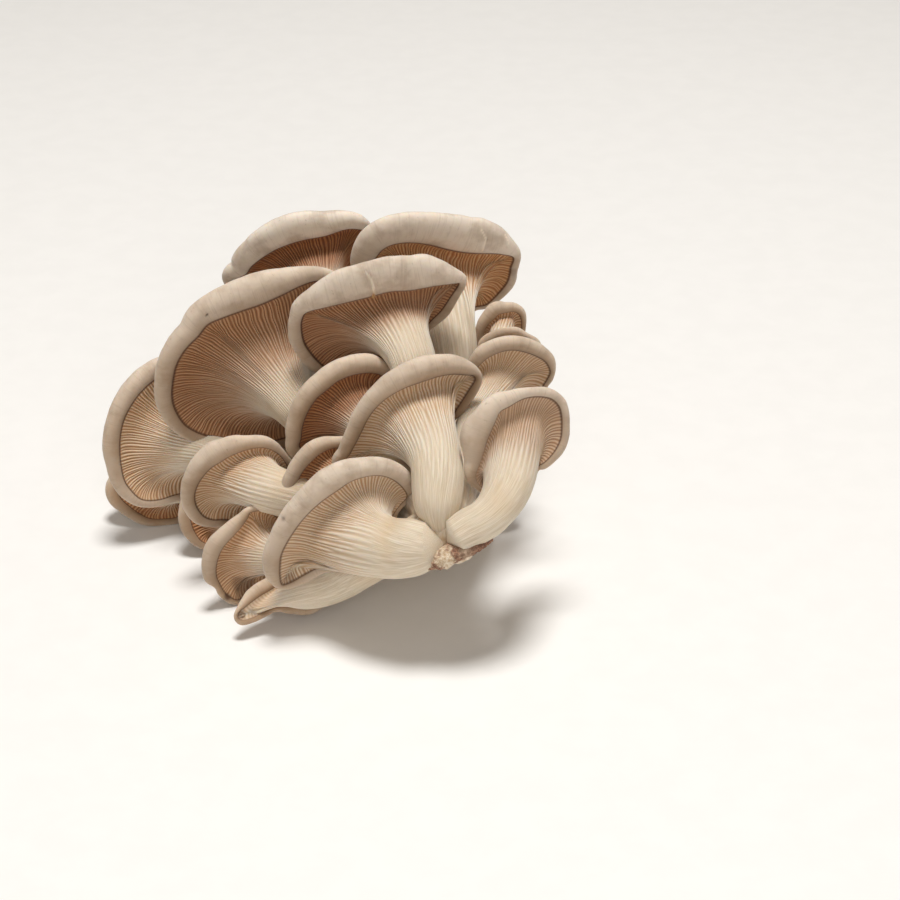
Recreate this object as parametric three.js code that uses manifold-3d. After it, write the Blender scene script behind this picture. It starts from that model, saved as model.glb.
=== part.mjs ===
// Oyster mushroom cluster, picked as one clump and lying on its side.
//
// Every fruit body is one grown piece: a stem, a funnel of gills that runs down
// the stem, an inrolled rim and a shallow domed cap. Twenty of them fan out of a
// common base clump that still carries a rag of growing substrate.
//
// Units are millimetres, +Z is up, the floor is Z = 0 and the origin is the
// centre of the footprint's bounding box.

import * as THREE from 'three';
import { mergeVertices } from 'three/addons/utils/BufferGeometryUtils.js';
import Module from 'manifold-3d';

// ---------------------------------------------------------------- dimensions
const ORIGIN = [49.097, -37.562, 16.885];   // shift from the growth frame to the footprint frame
const GAP = 0.4;             // clearance kept between neighbouring bodies
const SMOOTHING = 0.05;      // slivers finer than this are merged away
const GILL_EDGE_ANGLE = 28;  // degrees, how far the gill face dips at the rim
const THROAT_REACH = 0.42;   // how far the gill funnel follows the stem direction
const RIM_REACH = 0.42;      // how far the gill face follows the rim direction
const RIM_WIDTH_RATIO = 0.55;   // half width of the rolled rim over its width
const RIM_DEPTH_RATIO = 0.42;   // half depth of the rolled rim over its width
const RIM_START = 204.6 * Math.PI / 180; // where the rim's section leaves the gill edge
const LARGE = { around: 20, stem: 3, gills: 4, rim: 3, top: 3 };
const SMALL = { around: 14, stem: 3, gills: 3, rim: 3, top: 2 };

// Each fruit body: axis is the cap's outward axis, growth the stem's direction
// at the throat, edgeAngle the slope of the dome at the rim in degrees, ring the
// gill edge as [x, y, z, rim width], stem the centre line from throat to base as
// [x, y, z, radius].
const FRUIT_BODIES = {
  mushroom_lower_front: {
    axis: [-0.250, 0.968, 0.018], growth: [-0.919, 0.391, -0.041], edgeAngle: 42,
    ring: [
      [-65.1, -27, 8.7, 2], [-65.9, -27.3, 13.1, 5.1], [-65.7, -27.3, 17.7, 6.2], [-65, -27.2, 22.7, 6.6],
      [-62.9, -26.8, 27.4, 7], [-59.7, -26, 32.8, 7.7], [-56.1, -25.2, 37.7, 8.1], [-52.3, -24.3, 41.6, 8.5],
      [-47.6, -23.1, 45.4, 9.4], [-42.6, -21.9, 48.6, 10.2], [-38.1, -20.8, 51.5, 8.9], [-33.5, -19.6, 52.8, 7.8],
      [-29, -18.5, 53, 7], [-24.8, -17.4, 51.9, 6.5], [-21.1, -16.4, 49.3, 6.1], [-18, -15.5, 45.5, 5.4],
      [-16.6, -15, 41.4, 3.6], [-19.3, -15.7, 38.2, 2], [-22, -16.3, 34, 2], [-24.4, -16.8, 26.6, 2],
      [-30.3, -18.2, 18.3, 3.8], [-39.6, -20.5, 15.6, 4.6], [-48.5, -22.8, 15.2, 3.7], [-55.8, -24.6, 12.3, 3.7],
      [-61.3, -26, 9.5, 2.8],
    ],
    stem: [
      [-25.2, -31.9, 28.8, 11.8], [-21.7, -33.3, 29, 11.9], [-19, -34.6, 30.1, 11.9], [-12.9, -36.7, 32.4, 11],
      [-7.2, -38, 34.1, 9],
    ],
  },
  mushroom_centre_front: {
    axis: [-0.329, 0.940, 0.091], growth: [-0.250, 0.941, 0.230], edgeAngle: 42,
    ring: [
      [-40.6, 1.9, 46.6, 5.2], [-38.9, 2, 51.1, 4.9], [-36.5, 2.4, 55.8, 5.3], [-34.1, 2.8, 60.9, 5.7],
      [-32.1, 3, 65.2, 6.1], [-29.7, 3.5, 68.9, 6.5], [-26.6, 4.3, 72.3, 6.9], [-22.7, 5.4, 74.9, 7.7],
      [-18.1, 6.8, 77, 8.5], [-13.5, 8.3, 78.2, 9.4], [-8.9, 9.8, 79.1, 9.4], [-3.9, 11.5, 80, 8.5],
      [1.2, 13.3, 79.9, 7.3], [5.4, 14.9, 78.8, 5.7], [8.9, 16.2, 77.6, 3.3], [9.9, 16.8, 75.4, 2.9],
      [7.8, 16.4, 71.6, 3.7], [5.1, 15.9, 67, 3.7], [2, 15.3, 62, 3.2], [-0.2, 15, 57.6, 2],
      [-2, 15.1, 49.4, 3.8], [-4, 15.3, 40.1, 5.5], [-10.3, 13.6, 34.7, 5.5], [-20.6, 10.2, 33, 5.5],
      [-33.1, 5.4, 37.7, 5.5],
    ],
    stem: [
      [-5.3, -14.7, 58.5, 10], [-3.8, -20.4, 57.1, 10], [-4.9, -23.9, 52.5, 10], [-5.1, -28.2, 47.1, 9.4],
      [-4.5, -30, 42, 7.2], [-3.8, -30.2, 37.7, 5],
    ],
  },
  mushroom_right_front: {
    axis: [-0.500, 0.850, -0.167], growth: [0.220, 0.804, 0.552], edgeAngle: 42,
    ring: [
      [33.6, -7.1, 50.1, 2], [36.3, -5.3, 50.8, 2.7], [39.1, -3.3, 52.8, 3.3], [41.4, -1.4, 55.3, 3.8],
      [43, 0.2, 58.8, 3.7], [43.3, 1.2, 63.1, 3.5], [43, 2, 68, 3.4], [41.9, 2.1, 71.9, 3.5],
      [39.1, 1.2, 75.5, 3.3], [35.2, -0.7, 77.6, 3.6], [30.5, -3.2, 78.8, 3.6], [26.6, -5.5, 78.7, 4.4],
      [22.8, -8, 77.5, 5.9], [19, -10.5, 76.3, 7.4], [17.1, -12.3, 72.9, 9.4], [15.5, -13.9, 69.5, 11.1],
      [14, -15.4, 66, 10.7], [12.9, -16.8, 62.4, 8.9], [11.4, -18.5, 58.1, 6.3], [9.9, -20.2, 54.3, 4.4],
      [10.9, -20.4, 50.4, 2.2], [13.8, -19.2, 47.5, 2], [18.8, -16.8, 45.1, 2], [24.6, -13.4, 44.5, 2],
      [30.5, -9.6, 46.6, 2],
    ],
    stem: [
      [22.8, -20.6, 52.3, 10.2], [22, -23.5, 50.3, 9.7], [21.2, -26.3, 49.5, 9.2], [18.1, -32.1, 46.4, 8.3],
      [12.8, -35.9, 43.9, 7.6], [7.2, -37.6, 40.9, 7.7], [2.3, -39.1, 38.3, 7.3],
    ],
  },
  mushroom_bottom: {
    axis: [-0.331, 0.791, -0.515], growth: [-0.952, 0.145, -0.269], edgeAngle: 36,
    ring: [
      [-52.4, -6.8, 3.5, 5.5], [-57.8, -9.1, 3.5, 5.5], [-63.6, -12.3, 2.3, 5.2], [-69.7, -16.3, 0, 4.8],
      [-73.9, -18.9, -1.3, 4.8], [-76.9, -21, -2.5, 4.4], [-79.6, -22.9, -3.8, 3.3], [-81.7, -24.6, -5, 2.2],
      [-82.6, -26, -6.6, 2], [-81.1, -26.3, -8.1, 2], [-77.7, -24.8, -7.9, 2], [-73.5, -22.5, -7.1, 2],
      [-68.5, -19.8, -6.1, 2], [-62.4, -17.5, -6.5, 3.8], [-56.2, -14.8, -6.4, 5.5], [-51.5, -11.3, -4, 5.5],
      [-49.2, -7.8, -0.1, 5.5],
    ],
    stem: [
      [-60.2, -16.6, -0.7, 8], [-55.4, -17.3, 0.6, 8.6], [-51.1, -16.7, 1, 9.2], [-40.9, -14.4, 5.1, 9],
      [-28.8, -20, 15.3, 7.6], [-13.3, -32.8, 27.2, 6.5],
    ],
  },
  mushroom_small_centre: {
    axis: [-0.380, 0.925, 0.021], growth: [-0.659, 0.747, -0.085], edgeAngle: 40,
    ring: [
      [-63.4, 1.6, 29.9, 5.4], [-61.4, 2.4, 34, 5.4], [-59.7, 3, 38.2, 5.8], [-57.6, 3.8, 41.9, 6.2],
      [-54.9, 4.8, 44.9, 6.6], [-51.7, 6.1, 47.6, 6.6], [-48.6, 7.3, 49.1, 5.8], [-45.1, 8.7, 49.4, 4.5],
      [-40.2, 10.8, 47.3, 5], [-34.8, 13.1, 41.4, 5.5], [-31.9, 14.6, 31.4, 5.5], [-35.2, 13.4, 22.7, 5.5],
      [-44, 9.9, 18.8, 5.5], [-56.4, 4.7, 22, 5.5],
    ],
    stem: [
      [-39.7, -4.8, 39.7, 6.5], [-35.7, -9.4, 40.2, 6.5], [-30.5, -3.7, 33.6, 6.5], [-19.6, -2.1, 28.4, 6.5],
      [-7.7, -22.2, 33.6, 6.5],
    ],
  },
  mushroom_middle: {
    axis: [-0.351, 0.936, 0.016], growth: [-0.561, 0.819, 0.117], edgeAngle: 40,
    ring: [
      [-59.8, 21.2, 42.3, 4.9], [-59.3, 21.3, 46.8, 5.7], [-58.7, 21.4, 51.3, 6.1], [-57.4, 21.8, 55.6, 6.5],
      [-55.4, 22.6, 59.7, 7], [-52.5, 23.6, 63.7, 7.4], [-49, 24.8, 66.4, 7.8], [-45, 26.3, 69.2, 7.8],
      [-40.7, 27.9, 70.8, 7.8], [-36.4, 29.5, 71.3, 7.7], [-31.7, 31.2, 70.8, 7.2], [-27.8, 32.7, 69.1, 5.6],
      [-24.7, 34, 65.3, 5.6], [-22.5, 35, 55.6, 5.5], [-24.6, 34.4, 44, 5.5], [-31.5, 31.9, 37, 5.5],
      [-42.3, 27.9, 33.8, 5.5], [-53.7, 23.6, 36.3, 5.2],
    ],
    stem: [
      [-30.8, 17.6, 52.5, 7.5], [-26.6, 11.5, 51.6, 7.5], [-22.9, 11.2, 43.4, 7.5], [-14.9, -1.2, 38, 7.5],
      [-6.9, -22, 37.9, 7],
    ],
  },
  mushroom_lower_left: {
    axis: [-0.398, 0.916, -0.046], growth: [-0.599, 0.717, -0.356], edgeAngle: 38,
    ring: [
      [-78.3, 2, 24.1, 2.3], [-80.3, 1, 21.5, 3.9], [-82.3, 0, 18.8, 5], [-85.1, -1.3, 15.9, 5.8],
      [-87.9, -2.7, 13.3, 6.2], [-90.3, -3.9, 10.5, 6.6], [-92, -4.8, 6.9, 6.1], [-93, -5.4, 2.6, 5.3],
      [-93, -5.6, -1.6, 4.5], [-91.8, -5.3, -5.6, 2.3], [-90.4, -4.9, -9.2, 2.3], [-88.2, -4.1, -12.1, 2.3],
      [-85.2, -2.9, -14.4, 2], [-78.2, 0.2, -12.6, 3.8], [-68.7, 4.5, -10.6, 5.5], [-60.6, 8.3, -3.5, 5.5],
      [-64.1, 7.6, 11.3, 5.5], [-71.5, 4.9, 21.9, 3.9],
    ],
    stem: [
      [-66.6, -9.3, 9.8, 6.5], [-63.5, -13.1, 11.7, 6.5], [-57.3, -7.3, 9.4, 6.5], [-39.3, -9.9, 14.8, 6.5],
      [-19.2, -23.6, 27.2, 6.5], [-9.9, -33.7, 33.6, 6],
    ],
  },
  mushroom_left_front: {
    axis: [-0.321, 0.946, 0.033], growth: [-0.790, 0.610, -0.063], edgeAngle: 40,
    ring: [
      [-75.1, 22.5, 41.7, 4.6], [-79.7, 20.9, 42, 5.5], [-83.7, 19.6, 41.3, 7.1], [-87.6, 18.3, 40.3, 7.9],
      [-90.8, 17.3, 38.5, 9.1], [-94.7, 16, 36.5, 8.2], [-97.6, 15.1, 33.8, 7.4], [-100.5, 14.3, 29.7, 6.2],
      [-102.2, 13.9, 24.8, 5.3], [-101.9, 14.2, 19.5, 4.9], [-99.5, 15.2, 14.1, 4.3], [-96.1, 16.4, 11.5, 3.4],
      [-92.2, 17.8, 10.6, 3.2], [-85.2, 20.2, 9.1, 4.3], [-74.9, 23.7, 9.4, 5.5], [-65.9, 26.5, 16.2, 5.5],
      [-64.7, 26.5, 26.6, 3.9], [-67.1, 25.4, 34.7, 2.3], [-70.9, 24, 39.5, 3.4],
    ],
    stem: [
      [-68.7, 5.6, 31.7, 9.5], [-63.6, 1.6, 32.1, 9.2], [-57.5, 7, 28, 9], [-39.6, 4.8, 24.3, 8],
      [-21.7, -2.9, 23, 7.5], [-7.7, -23.9, 30.6, 7],
    ],
  },
  mushroom_upper_middle: {
    axis: [-0.150, 0.955, 0.256], growth: [-0.404, 0.830, 0.385], edgeAngle: 42,
    ring: [
      [3.6, 48.4, 101.5, 3.2], [0, 49.7, 94.8, 3.5], [-3.6, 50.8, 88.4, 3.7], [-8, 51.6, 83.1, 3.2],
      [-10.9, 52.6, 77.7, 2.1], [-13.4, 54.2, 70, 3.8], [-19.6, 56, 59.9, 5.5], [-29.5, 55.9, 54.4, 5.5],
      [-40.9, 53.9, 55, 4.8], [-48.3, 51.3, 60.6, 4], [-53.3, 48.9, 66.4, 5], [-57, 46.6, 73.1, 5.2],
      [-58.8, 44.8, 78.5, 5.3], [-59.3, 43.1, 84.7, 4.9], [-58.7, 42, 89.3, 4.9], [-56.5, 41.4, 92.7, 7],
      [-49.4, 42.1, 94.3, 11.8], [-41.5, 42.9, 95.9, 15.1], [-33.2, 43.7, 97.7, 15.5], [-23.7, 44.6, 99.9, 15.5],
      [-15.8, 45.8, 99.9, 15.5], [-7.9, 46.8, 101, 14.5], [-2, 47.5, 101.8, 10.2], [2, 48.1, 102, 5.7],
    ],
    stem: [
      [-17, 34.7, 80.1, 9.8], [-13.4, 27.2, 76.7, 9.4], [-12.7, 24.4, 62.3, 9], [-10.4, 21.5, 41.2, 8.5],
      [-8.7, 3.2, 33.5, 8], [-6.1, -21.4, 34.9, 7.5],
    ],
  },
  mushroom_large_left: {
    axis: [-0.271, 0.962, 0.023], growth: [-0.602, 0.669, 0.436], edgeAngle: 42,
    ring: [
      [-53, 60.8, 96.9, 5.4], [-60.2, 58.9, 95.6, 8.2], [-68.2, 56.7, 92.2, 11.4], [-76.2, 54.5, 89.3, 12.8],
      [-84.1, 52.3, 87.4, 12.3], [-91.3, 50.4, 85.5, 11.4], [-96.9, 48.9, 83.4, 10], [-101, 47.8, 78.8, 8.6],
      [-104.3, 46.9, 75.6, 8.2], [-107.3, 46.2, 72.1, 7.8], [-110.4, 45.5, 66.4, 7.3], [-112.4, 45.1, 57.9, 6.9],
      [-112.9, 45.1, 51, 6.5], [-111.7, 45.6, 45.1, 5.8], [-109.2, 46.4, 39.3, 5.1], [-105.9, 47.5, 35.7, 5],
      [-100.9, 49, 32.2, 4.4], [-94.2, 50.9, 29.9, 4.1], [-83.8, 53.9, 26.3, 4.8], [-71.6, 57.3, 25.3, 5.5],
      [-57.5, 61.2, 30.3, 5.5], [-46.5, 64, 43, 5.5], [-41.9, 64.8, 63.6, 5.5], [-43.5, 63.9, 82.4, 5.5],
      [-47.2, 62.6, 92.9, 5.5],
    ],
    stem: [
      [-60.8, 41.9, 48.6, 9.5], [-55.4, 35.9, 44.6, 9.2], [-48.5, 46.5, 30.5, 9], [-31.6, 27.5, 23.7, 8.5],
      [-17.8, 5.2, 25, 7.5], [-7.7, -19.2, 30.8, 7],
    ],
  },
  mushroom_right_back: {
    axis: [-0.221, 0.972, 0.077], growth: [0.553, 0.810, 0.195], edgeAngle: 40,
    ring: [
      [10.7, 30.8, 73.2, 4.2], [13.8, 31.3, 76.6, 5.4], [17, 31.8, 78.5, 5.8], [20.5, 32.5, 79.7, 5.8],
      [24.5, 33.4, 79.9, 5.6], [28.5, 34.4, 79, 5.4], [32.9, 35.6, 76.8, 4.9], [37, 36.7, 73.9, 4.1],
      [39.1, 37.4, 71.1, 3.4], [40.2, 37.9, 67.7, 2], [39.2, 38, 64.5, 2.2], [37.3, 37.8, 60.9, 2],
      [34.2, 37.6, 54.6, 3.8], [26.2, 36.1, 50.4, 5.5], [16.9, 33.9, 51.6, 3.8], [10.4, 32.1, 55.8, 2],
      [8, 31.1, 61.4, 3.8], [8.3, 30.7, 67.9, 4.9],
    ],
    stem: [
      [10.6, 18.6, 58.3, 6.5], [7.4, 13.9, 57.1, 6.5], [6.7, 11.3, 51.6, 6.5], [2.7, -4.2, 44.8, 6.5],
      [0, -20.2, 40.9, 7], [-1.5, -30.9, 38.5, 6.5],
    ],
  },
  mushroom_far_left: {
    axis: [-0.401, 0.888, -0.224], growth: [-0.939, 0.340, -0.057], edgeAngle: 40,
    ring: [
      [-116.1, 62.4, 54.7, 6.5], [-122.1, 59.1, 52.2, 7.4], [-127.3, 55.8, 48.4, 7.4], [-131.4, 52.7, 43.5, 7.1],
      [-134.3, 50, 38, 6.7], [-135.7, 47.9, 32.1, 6.6], [-136.1, 46.3, 26.8, 6.6], [-135.9, 45.1, 21.4, 5.8],
      [-134.9, 43.7, 14, 5.1], [-132.3, 43.5, 8.8, 4.3], [-128.9, 44, 4.6, 3.2], [-125, 45.3, 2.9, 2.9],
      [-120.3, 47.3, 2.4, 3], [-115.1, 49.8, 3.1, 3.1], [-108.3, 52.9, 3.1, 4.3], [-97.7, 58, 4.5, 5.5],
      [-91, 63, 12.3, 5.5], [-91.9, 65.9, 25.2, 5.5], [-99.2, 66.2, 39.4, 5.5], [-107.6, 65.1, 50.4, 5.5],
    ],
    stem: [
      [-101.4, 50, 24.7, 7.5], [-93.2, 47.1, 25.2, 7.2], [-87.1, 48.5, 17.9, 6.8], [-61.7, 39.5, 16.5, 6.5],
      [-36.3, 20, 18.7, 6.5], [-14, -11.6, 27.9, 6],
    ],
  },
  mushroom_top_right: {
    axis: [-0.220, 0.946, 0.239], growth: [-0.159, 0.863, 0.479], edgeAngle: 42,
    ring: [
      [-28.6, 81.5, 100.1, 11.4], [-24.5, 81.8, 102.9, 12.9], [-19.6, 82.7, 103.5, 13.2], [-14.3, 84.1, 102.9, 13.4],
      [-8.2, 86, 101.1, 14.4], [-2.1, 88.1, 98.3, 15.5], [4.1, 90.2, 96, 15.5], [10.4, 92, 94.5, 15.5],
      [16.6, 93.6, 93.7, 13.2], [21.6, 95.1, 92.7, 8.9], [26.5, 96.8, 90.4, 3.5], [25.5, 97.9, 85.1, 3.4],
      [24.4, 99.3, 78.3, 3.6], [20.7, 100, 72.4, 3.6], [15.7, 100.2, 66.9, 2.3], [10.6, 99.3, 66, 2],
      [5.1, 98.5, 63.7, 3.8], [-2.1, 98.4, 57.6, 5.5], [-12.7, 95.9, 58, 5.5], [-23.1, 90.9, 68, 5.5],
      [-29.9, 85.9, 81.6, 5.5], [-31.7, 82.5, 93.3, 8.5],
    ],
    stem: [
      [-0.8, 66.7, 75.5, 10.8], [0.6, 58.9, 71.2, 10.2], [2.4, 54.1, 57.7, 9.5], [0.8, 32.1, 39.7, 8],
      [-2.4, 0.5, 32.9, 7.5], [-4.6, -24.1, 34.3, 7],
    ],
  },
  mushroom_top_left: {
    axis: [-0.152, 0.943, 0.297], growth: [-0.250, 0.956, 0.153], edgeAngle: 42,
    ring: [
      [-88.9, 104.5, 76.3, 7], [-85.7, 103.9, 79.9, 7.6], [-82.5, 102.9, 84.5, 9.2], [-73.3, 102.2, 91.3, 11.7],
      [-62.8, 102.7, 95.2, 13.1], [-52.3, 103.8, 97, 11.3], [-43.9, 104.3, 99.8, 8.4], [-38.9, 105.2, 99.6, 6.6],
      [-35.2, 106.4, 97.7, 3.6], [-33.3, 109.1, 90, 4.5], [-36.7, 112.6, 77.1, 5.5], [-47.2, 114.1, 66.9, 5.5],
      [-64.4, 112.6, 62.9, 5.5], [-80.4, 109.2, 65.5, 6.3],
    ],
    stem: [
      [-53.1, 83.8, 77.1, 8.5], [-50.9, 75.2, 75.7, 8.2], [-43.6, 71.3, 55.5, 8], [-32, 48.1, 35.3, 7.5],
      [-19.2, 13.5, 27.4, 7], [-10.1, -14.6, 30.7, 6.5],
    ],
  },
  mushroom_lower_left_back: {
    axis: [-0.300, 0.872, -0.388], growth: [-0.732, 0.580, -0.358], edgeAngle: 38,
    ring: [
      [-107.6, 37, 1.6, 4.6], [-107.1, 35.5, -2.3, 4.6], [-105.7, 34.3, -6, 3.9], [-103.3, 33.6, -9.4, 3.1],
      [-100.1, 33.9, -11.1, 2.8], [-93.7, 35.8, -11.8, 4.2], [-86, 39.5, -9.7, 5.5], [-82.7, 43.6, -2.9, 5.5],
      [-86.6, 45.8, 5, 5.5], [-97.5, 43.9, 9.1, 5.5], [-105.1, 40.3, 6.9, 5.1],
    ],
    stem: [
      [-88.1, 31.9, 3.3, 5], [-81.5, 26.7, 6.5, 5], [-73.4, 24.5, 6.4, 5], [-50.2, 10.6, 10.3, 5],
      [-15.5, -16.8, 22.9, 5],
    ],
  },
  mushroom_far_left_under: {
    axis: [-0.200, 0.782, -0.590], growth: [-0.778, 0.539, -0.323], edgeAngle: 40,
    ring: [
      [-140.1, 60.9, -4.6, 4.7], [-135.9, 59.1, -8.5, 4], [-131.7, 58, -11.3, 3.8], [-127.5, 57.6, -13.3, 3.2],
      [-122.2, 58.4, -14.1, 2.8], [-116.3, 60, -14, 2.8], [-109.7, 63.4, -11.6, 4.2], [-106.9, 68.6, -5.8, 5.5],
      [-111.2, 72.5, 0.9, 5.5], [-123.7, 71.8, 4.2, 5.5], [-135.3, 67.7, 2.7, 5.5], [-140.2, 63.8, -0.9, 5.5],
    ],
    stem: [
      [-117.4, 57.6, -0.2, 4.5], [-111, 53.2, 2.5, 4.5], [-103, 54.6, 2.6, 4.5], [-83, 43.5, 7.4, 4.5],
      [-52.8, 23.5, 12.8, 4.5], [-14.8, -13.2, 25.2, 4.5],
    ],
  },
  mushroom_rear_left: {
    axis: [-0.121, 0.936, -0.331], growth: [-0.300, 0.922, -0.244], edgeAngle: 42,
    ring: [
      [-50.7, 69.6, 7.5, 6.2], [-54.5, 72.1, 16.1, 6.1], [-62.2, 73.9, 24.1, 6], [-71.2, 74.1, 27.9, 5.9],
      [-79.6, 72.1, 25.1, 5.9], [-86.1, 68.7, 18, 5.9], [-89.4, 65.4, 9.9, 5.9], [-88.2, 62.6, 1.5, 6],
      [-82, 60.6, -6.4, 6.2], [-71.8, 60.5, -10.4, 6.3], [-60.7, 62.9, -7.8, 6.4], [-52.9, 66.4, -0.7, 6.4],
    ],
    stem: [
      [-66, 55.3, 15.8, 6.5], [-63.3, 47, 18, 6.5], [-47.2, 36.8, 15.7, 6.5], [-19.6, -7.4, 27.2, 6],
    ],
  },
  mushroom_rear_right: {
    axis: [0.140, 0.940, -0.312], growth: [0.121, 0.936, -0.331], edgeAngle: 42,
    ring: [
      [25.5, 57.3, 7.9, 5.1], [22.5, 60.2, 15.2, 5.1], [16.9, 63.2, 21.7, 5.1], [9.8, 65.1, 24.2, 5.1],
      [2.1, 65, 20.6, 5.2], [-4.6, 63.6, 13.2, 5.2], [-8.1, 61.5, 5.4, 5.4], [-6.6, 58.8, -2.1, 5.5],
      [0.1, 55.6, -8.6, 5.6], [9.8, 53.4, -11, 5.5], [19, 53.3, -7.2, 5.3], [24.6, 54.9, 0.2, 5.2],
    ],
    stem: [
      [8.7, 44.3, 12.7, 6.5], [7.6, 35.9, 15.7, 6.5], [5.6, 17.7, 18.7, 6.5], [0.8, -15.8, 28.7, 6],
    ],
  },
  button_right_upper: {
    axis: [-0.200, 0.980, 0.013], growth: [0.201, 0.970, 0.135], edgeAngle: 40,
    ring: [
      [14.9, 70.1, 64.6, 4.5], [14, 69.9, 68.8, 3.5], [15.6, 70.2, 72.4, 4.3], [18.5, 70.7, 75.3, 5.1],
      [20.1, 71, 76.8, 5.2], [22.6, 71.5, 77.2, 4.4], [25.9, 72.2, 77.6, 3.5], [28.4, 72.7, 75.9, 2.7],
      [29.5, 73, 72.3, 2], [29.1, 73, 67.7, 2], [26.9, 72.6, 61.4, 3.8], [20.7, 71.4, 59.7, 5.5],
    ],
    stem: [
      [20.8, 61.6, 70.8, 4.5], [19.3, 54.2, 69.7, 4.5], [21.7, 56.5, 57.8, 4.5], [19.5, 41.3, 47.5, 4.5],
      [13.5, 19.7, 42.2, 4.5], [6.2, -8.8, 40.8, 4.5], [0.8, -27.8, 39.8, 4.5],
    ],
  },
  button_right_lower: {
    axis: [-0.150, 0.989, 0.008], growth: [0.020, 0.980, 0.197], edgeAngle: 38,
    ring: [
      [16.2, 55.1, 70, 4.7], [19, 55.5, 73, 3.9], [22.7, 56.1, 74.5, 3.5], [26.7, 56.7, 74.7, 3.1],
      [30.4, 57.3, 72.8, 2.3], [33, 57.7, 69.1, 3.9], [31.8, 57.6, 63.2, 5.5], [25.3, 56.6, 60.5, 5.5],
      [18.3, 55.5, 63.8, 5.5],
    ],
    stem: [
      [24.6, 49.8, 68.2, 3.5], [24.5, 44.4, 67.1, 3.5], [25.2, 48.7, 58.3, 3.5], [23.5, 41.6, 52, 3.5],
      [20.1, 33.4, 45.9, 3.5],
    ],
  },
};

const SMALL_BODIES = new Set(['mushroom_bottom', 'mushroom_small_centre', 'mushroom_lower_left',
  'mushroom_right_back', 'mushroom_lower_left_back', 'mushroom_far_left_under',
  'mushroom_rear_left', 'mushroom_rear_right', 'button_right_upper', 'button_right_lower']);

// The base clump where all the stems grow together, and the rag of substrate
// under it, as centre lines with a radius.
const BASE_CLUMP = { centre: [-3.4, -28.7, 32.2], radii: [15, 12, 12.5] };
const CRUST_LINE = [[-9.5, -41.2, 26.7, 1.4], [-4.9, -41.8, 29.6, 2.5], [0, -42.2, 32.9, 2.8], [5.6, -42, 35.3, 2.4], [11.3, -39.9, 36.9, 2.1], [15.5, -38.2, 37.8, 1.3]];

// ---------------------------------------------------------------- curves
const V = (a) => new THREE.Vector3(a[0], a[1], a[2]);

function spline(p0, p1, p2, p3, t) {
  return p0.map((_, k) => 0.5 * (2 * p1[k] + (p2[k] - p0[k]) * t
    + (2 * p0[k] - 5 * p1[k] + 4 * p2[k] - p3[k]) * t * t
    + (3 * p1[k] - p0[k] - 3 * p2[k] + p3[k]) * t * t * t));
}

function resample(points, count, closed) {
  const length = [0];
  for (let i = 1; i < points.length; i++) {
    const a = points[i - 1], b = points[i];
    length.push(length[i - 1] + Math.hypot(b[0] - a[0], b[1] - a[1], b[2] - a[2]));
  }
  const total = length[length.length - 1], out = [];
  let k = 1;
  for (let i = 0; i < count; i++) {
    const s = total * (closed ? i / count : i / (count - 1));
    while (k < points.length - 1 && length[k] < s) k++;
    const f = (s - length[k - 1]) / Math.max(1e-9, length[k] - length[k - 1]);
    out.push(points[k - 1].map((v, j) => v + (points[k][j] - v) * f));
  }
  return out;
}

function closedCurve(points, count, sub = 16) {
  const n = points.length, fine = [];
  for (let i = 0; i < n; i++) {
    for (let s = 0; s < sub; s++) {
      fine.push(spline(points[(i + n - 1) % n], points[i], points[(i + 1) % n], points[(i + 2) % n], s / sub));
    }
  }
  fine.push(fine[0]);
  return resample(fine, count, true);
}

// From base to throat, arriving along the growth direction.
function stemCurve(points, count, growth, sub = 16) {
  const n = points.length, last = points[n - 1], before = points[n - 2];
  const step = Math.hypot(last[0] - before[0], last[1] - before[1], last[2] - before[2]);
  const ends = [points[0].map((v, k) => 2 * v - points[1][k]), ...points,
    [before[0] + 2 * step * growth.x, before[1] + 2 * step * growth.y, before[2] + 2 * step * growth.z, last[3]]];
  const fine = [];
  for (let i = 0; i < n - 1; i++) {
    for (let s = 0; s < sub; s++) fine.push(spline(ends[i], ends[i + 1], ends[i + 2], ends[i + 3], s / sub));
  }
  fine.push(last);
  return resample(fine, count, false);
}

// ---------------------------------------------------------------- fruit body
const rimDepth = (w) => Math.min(RIM_DEPTH_RATIO * w, 3 + 0.08 * w);

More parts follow.
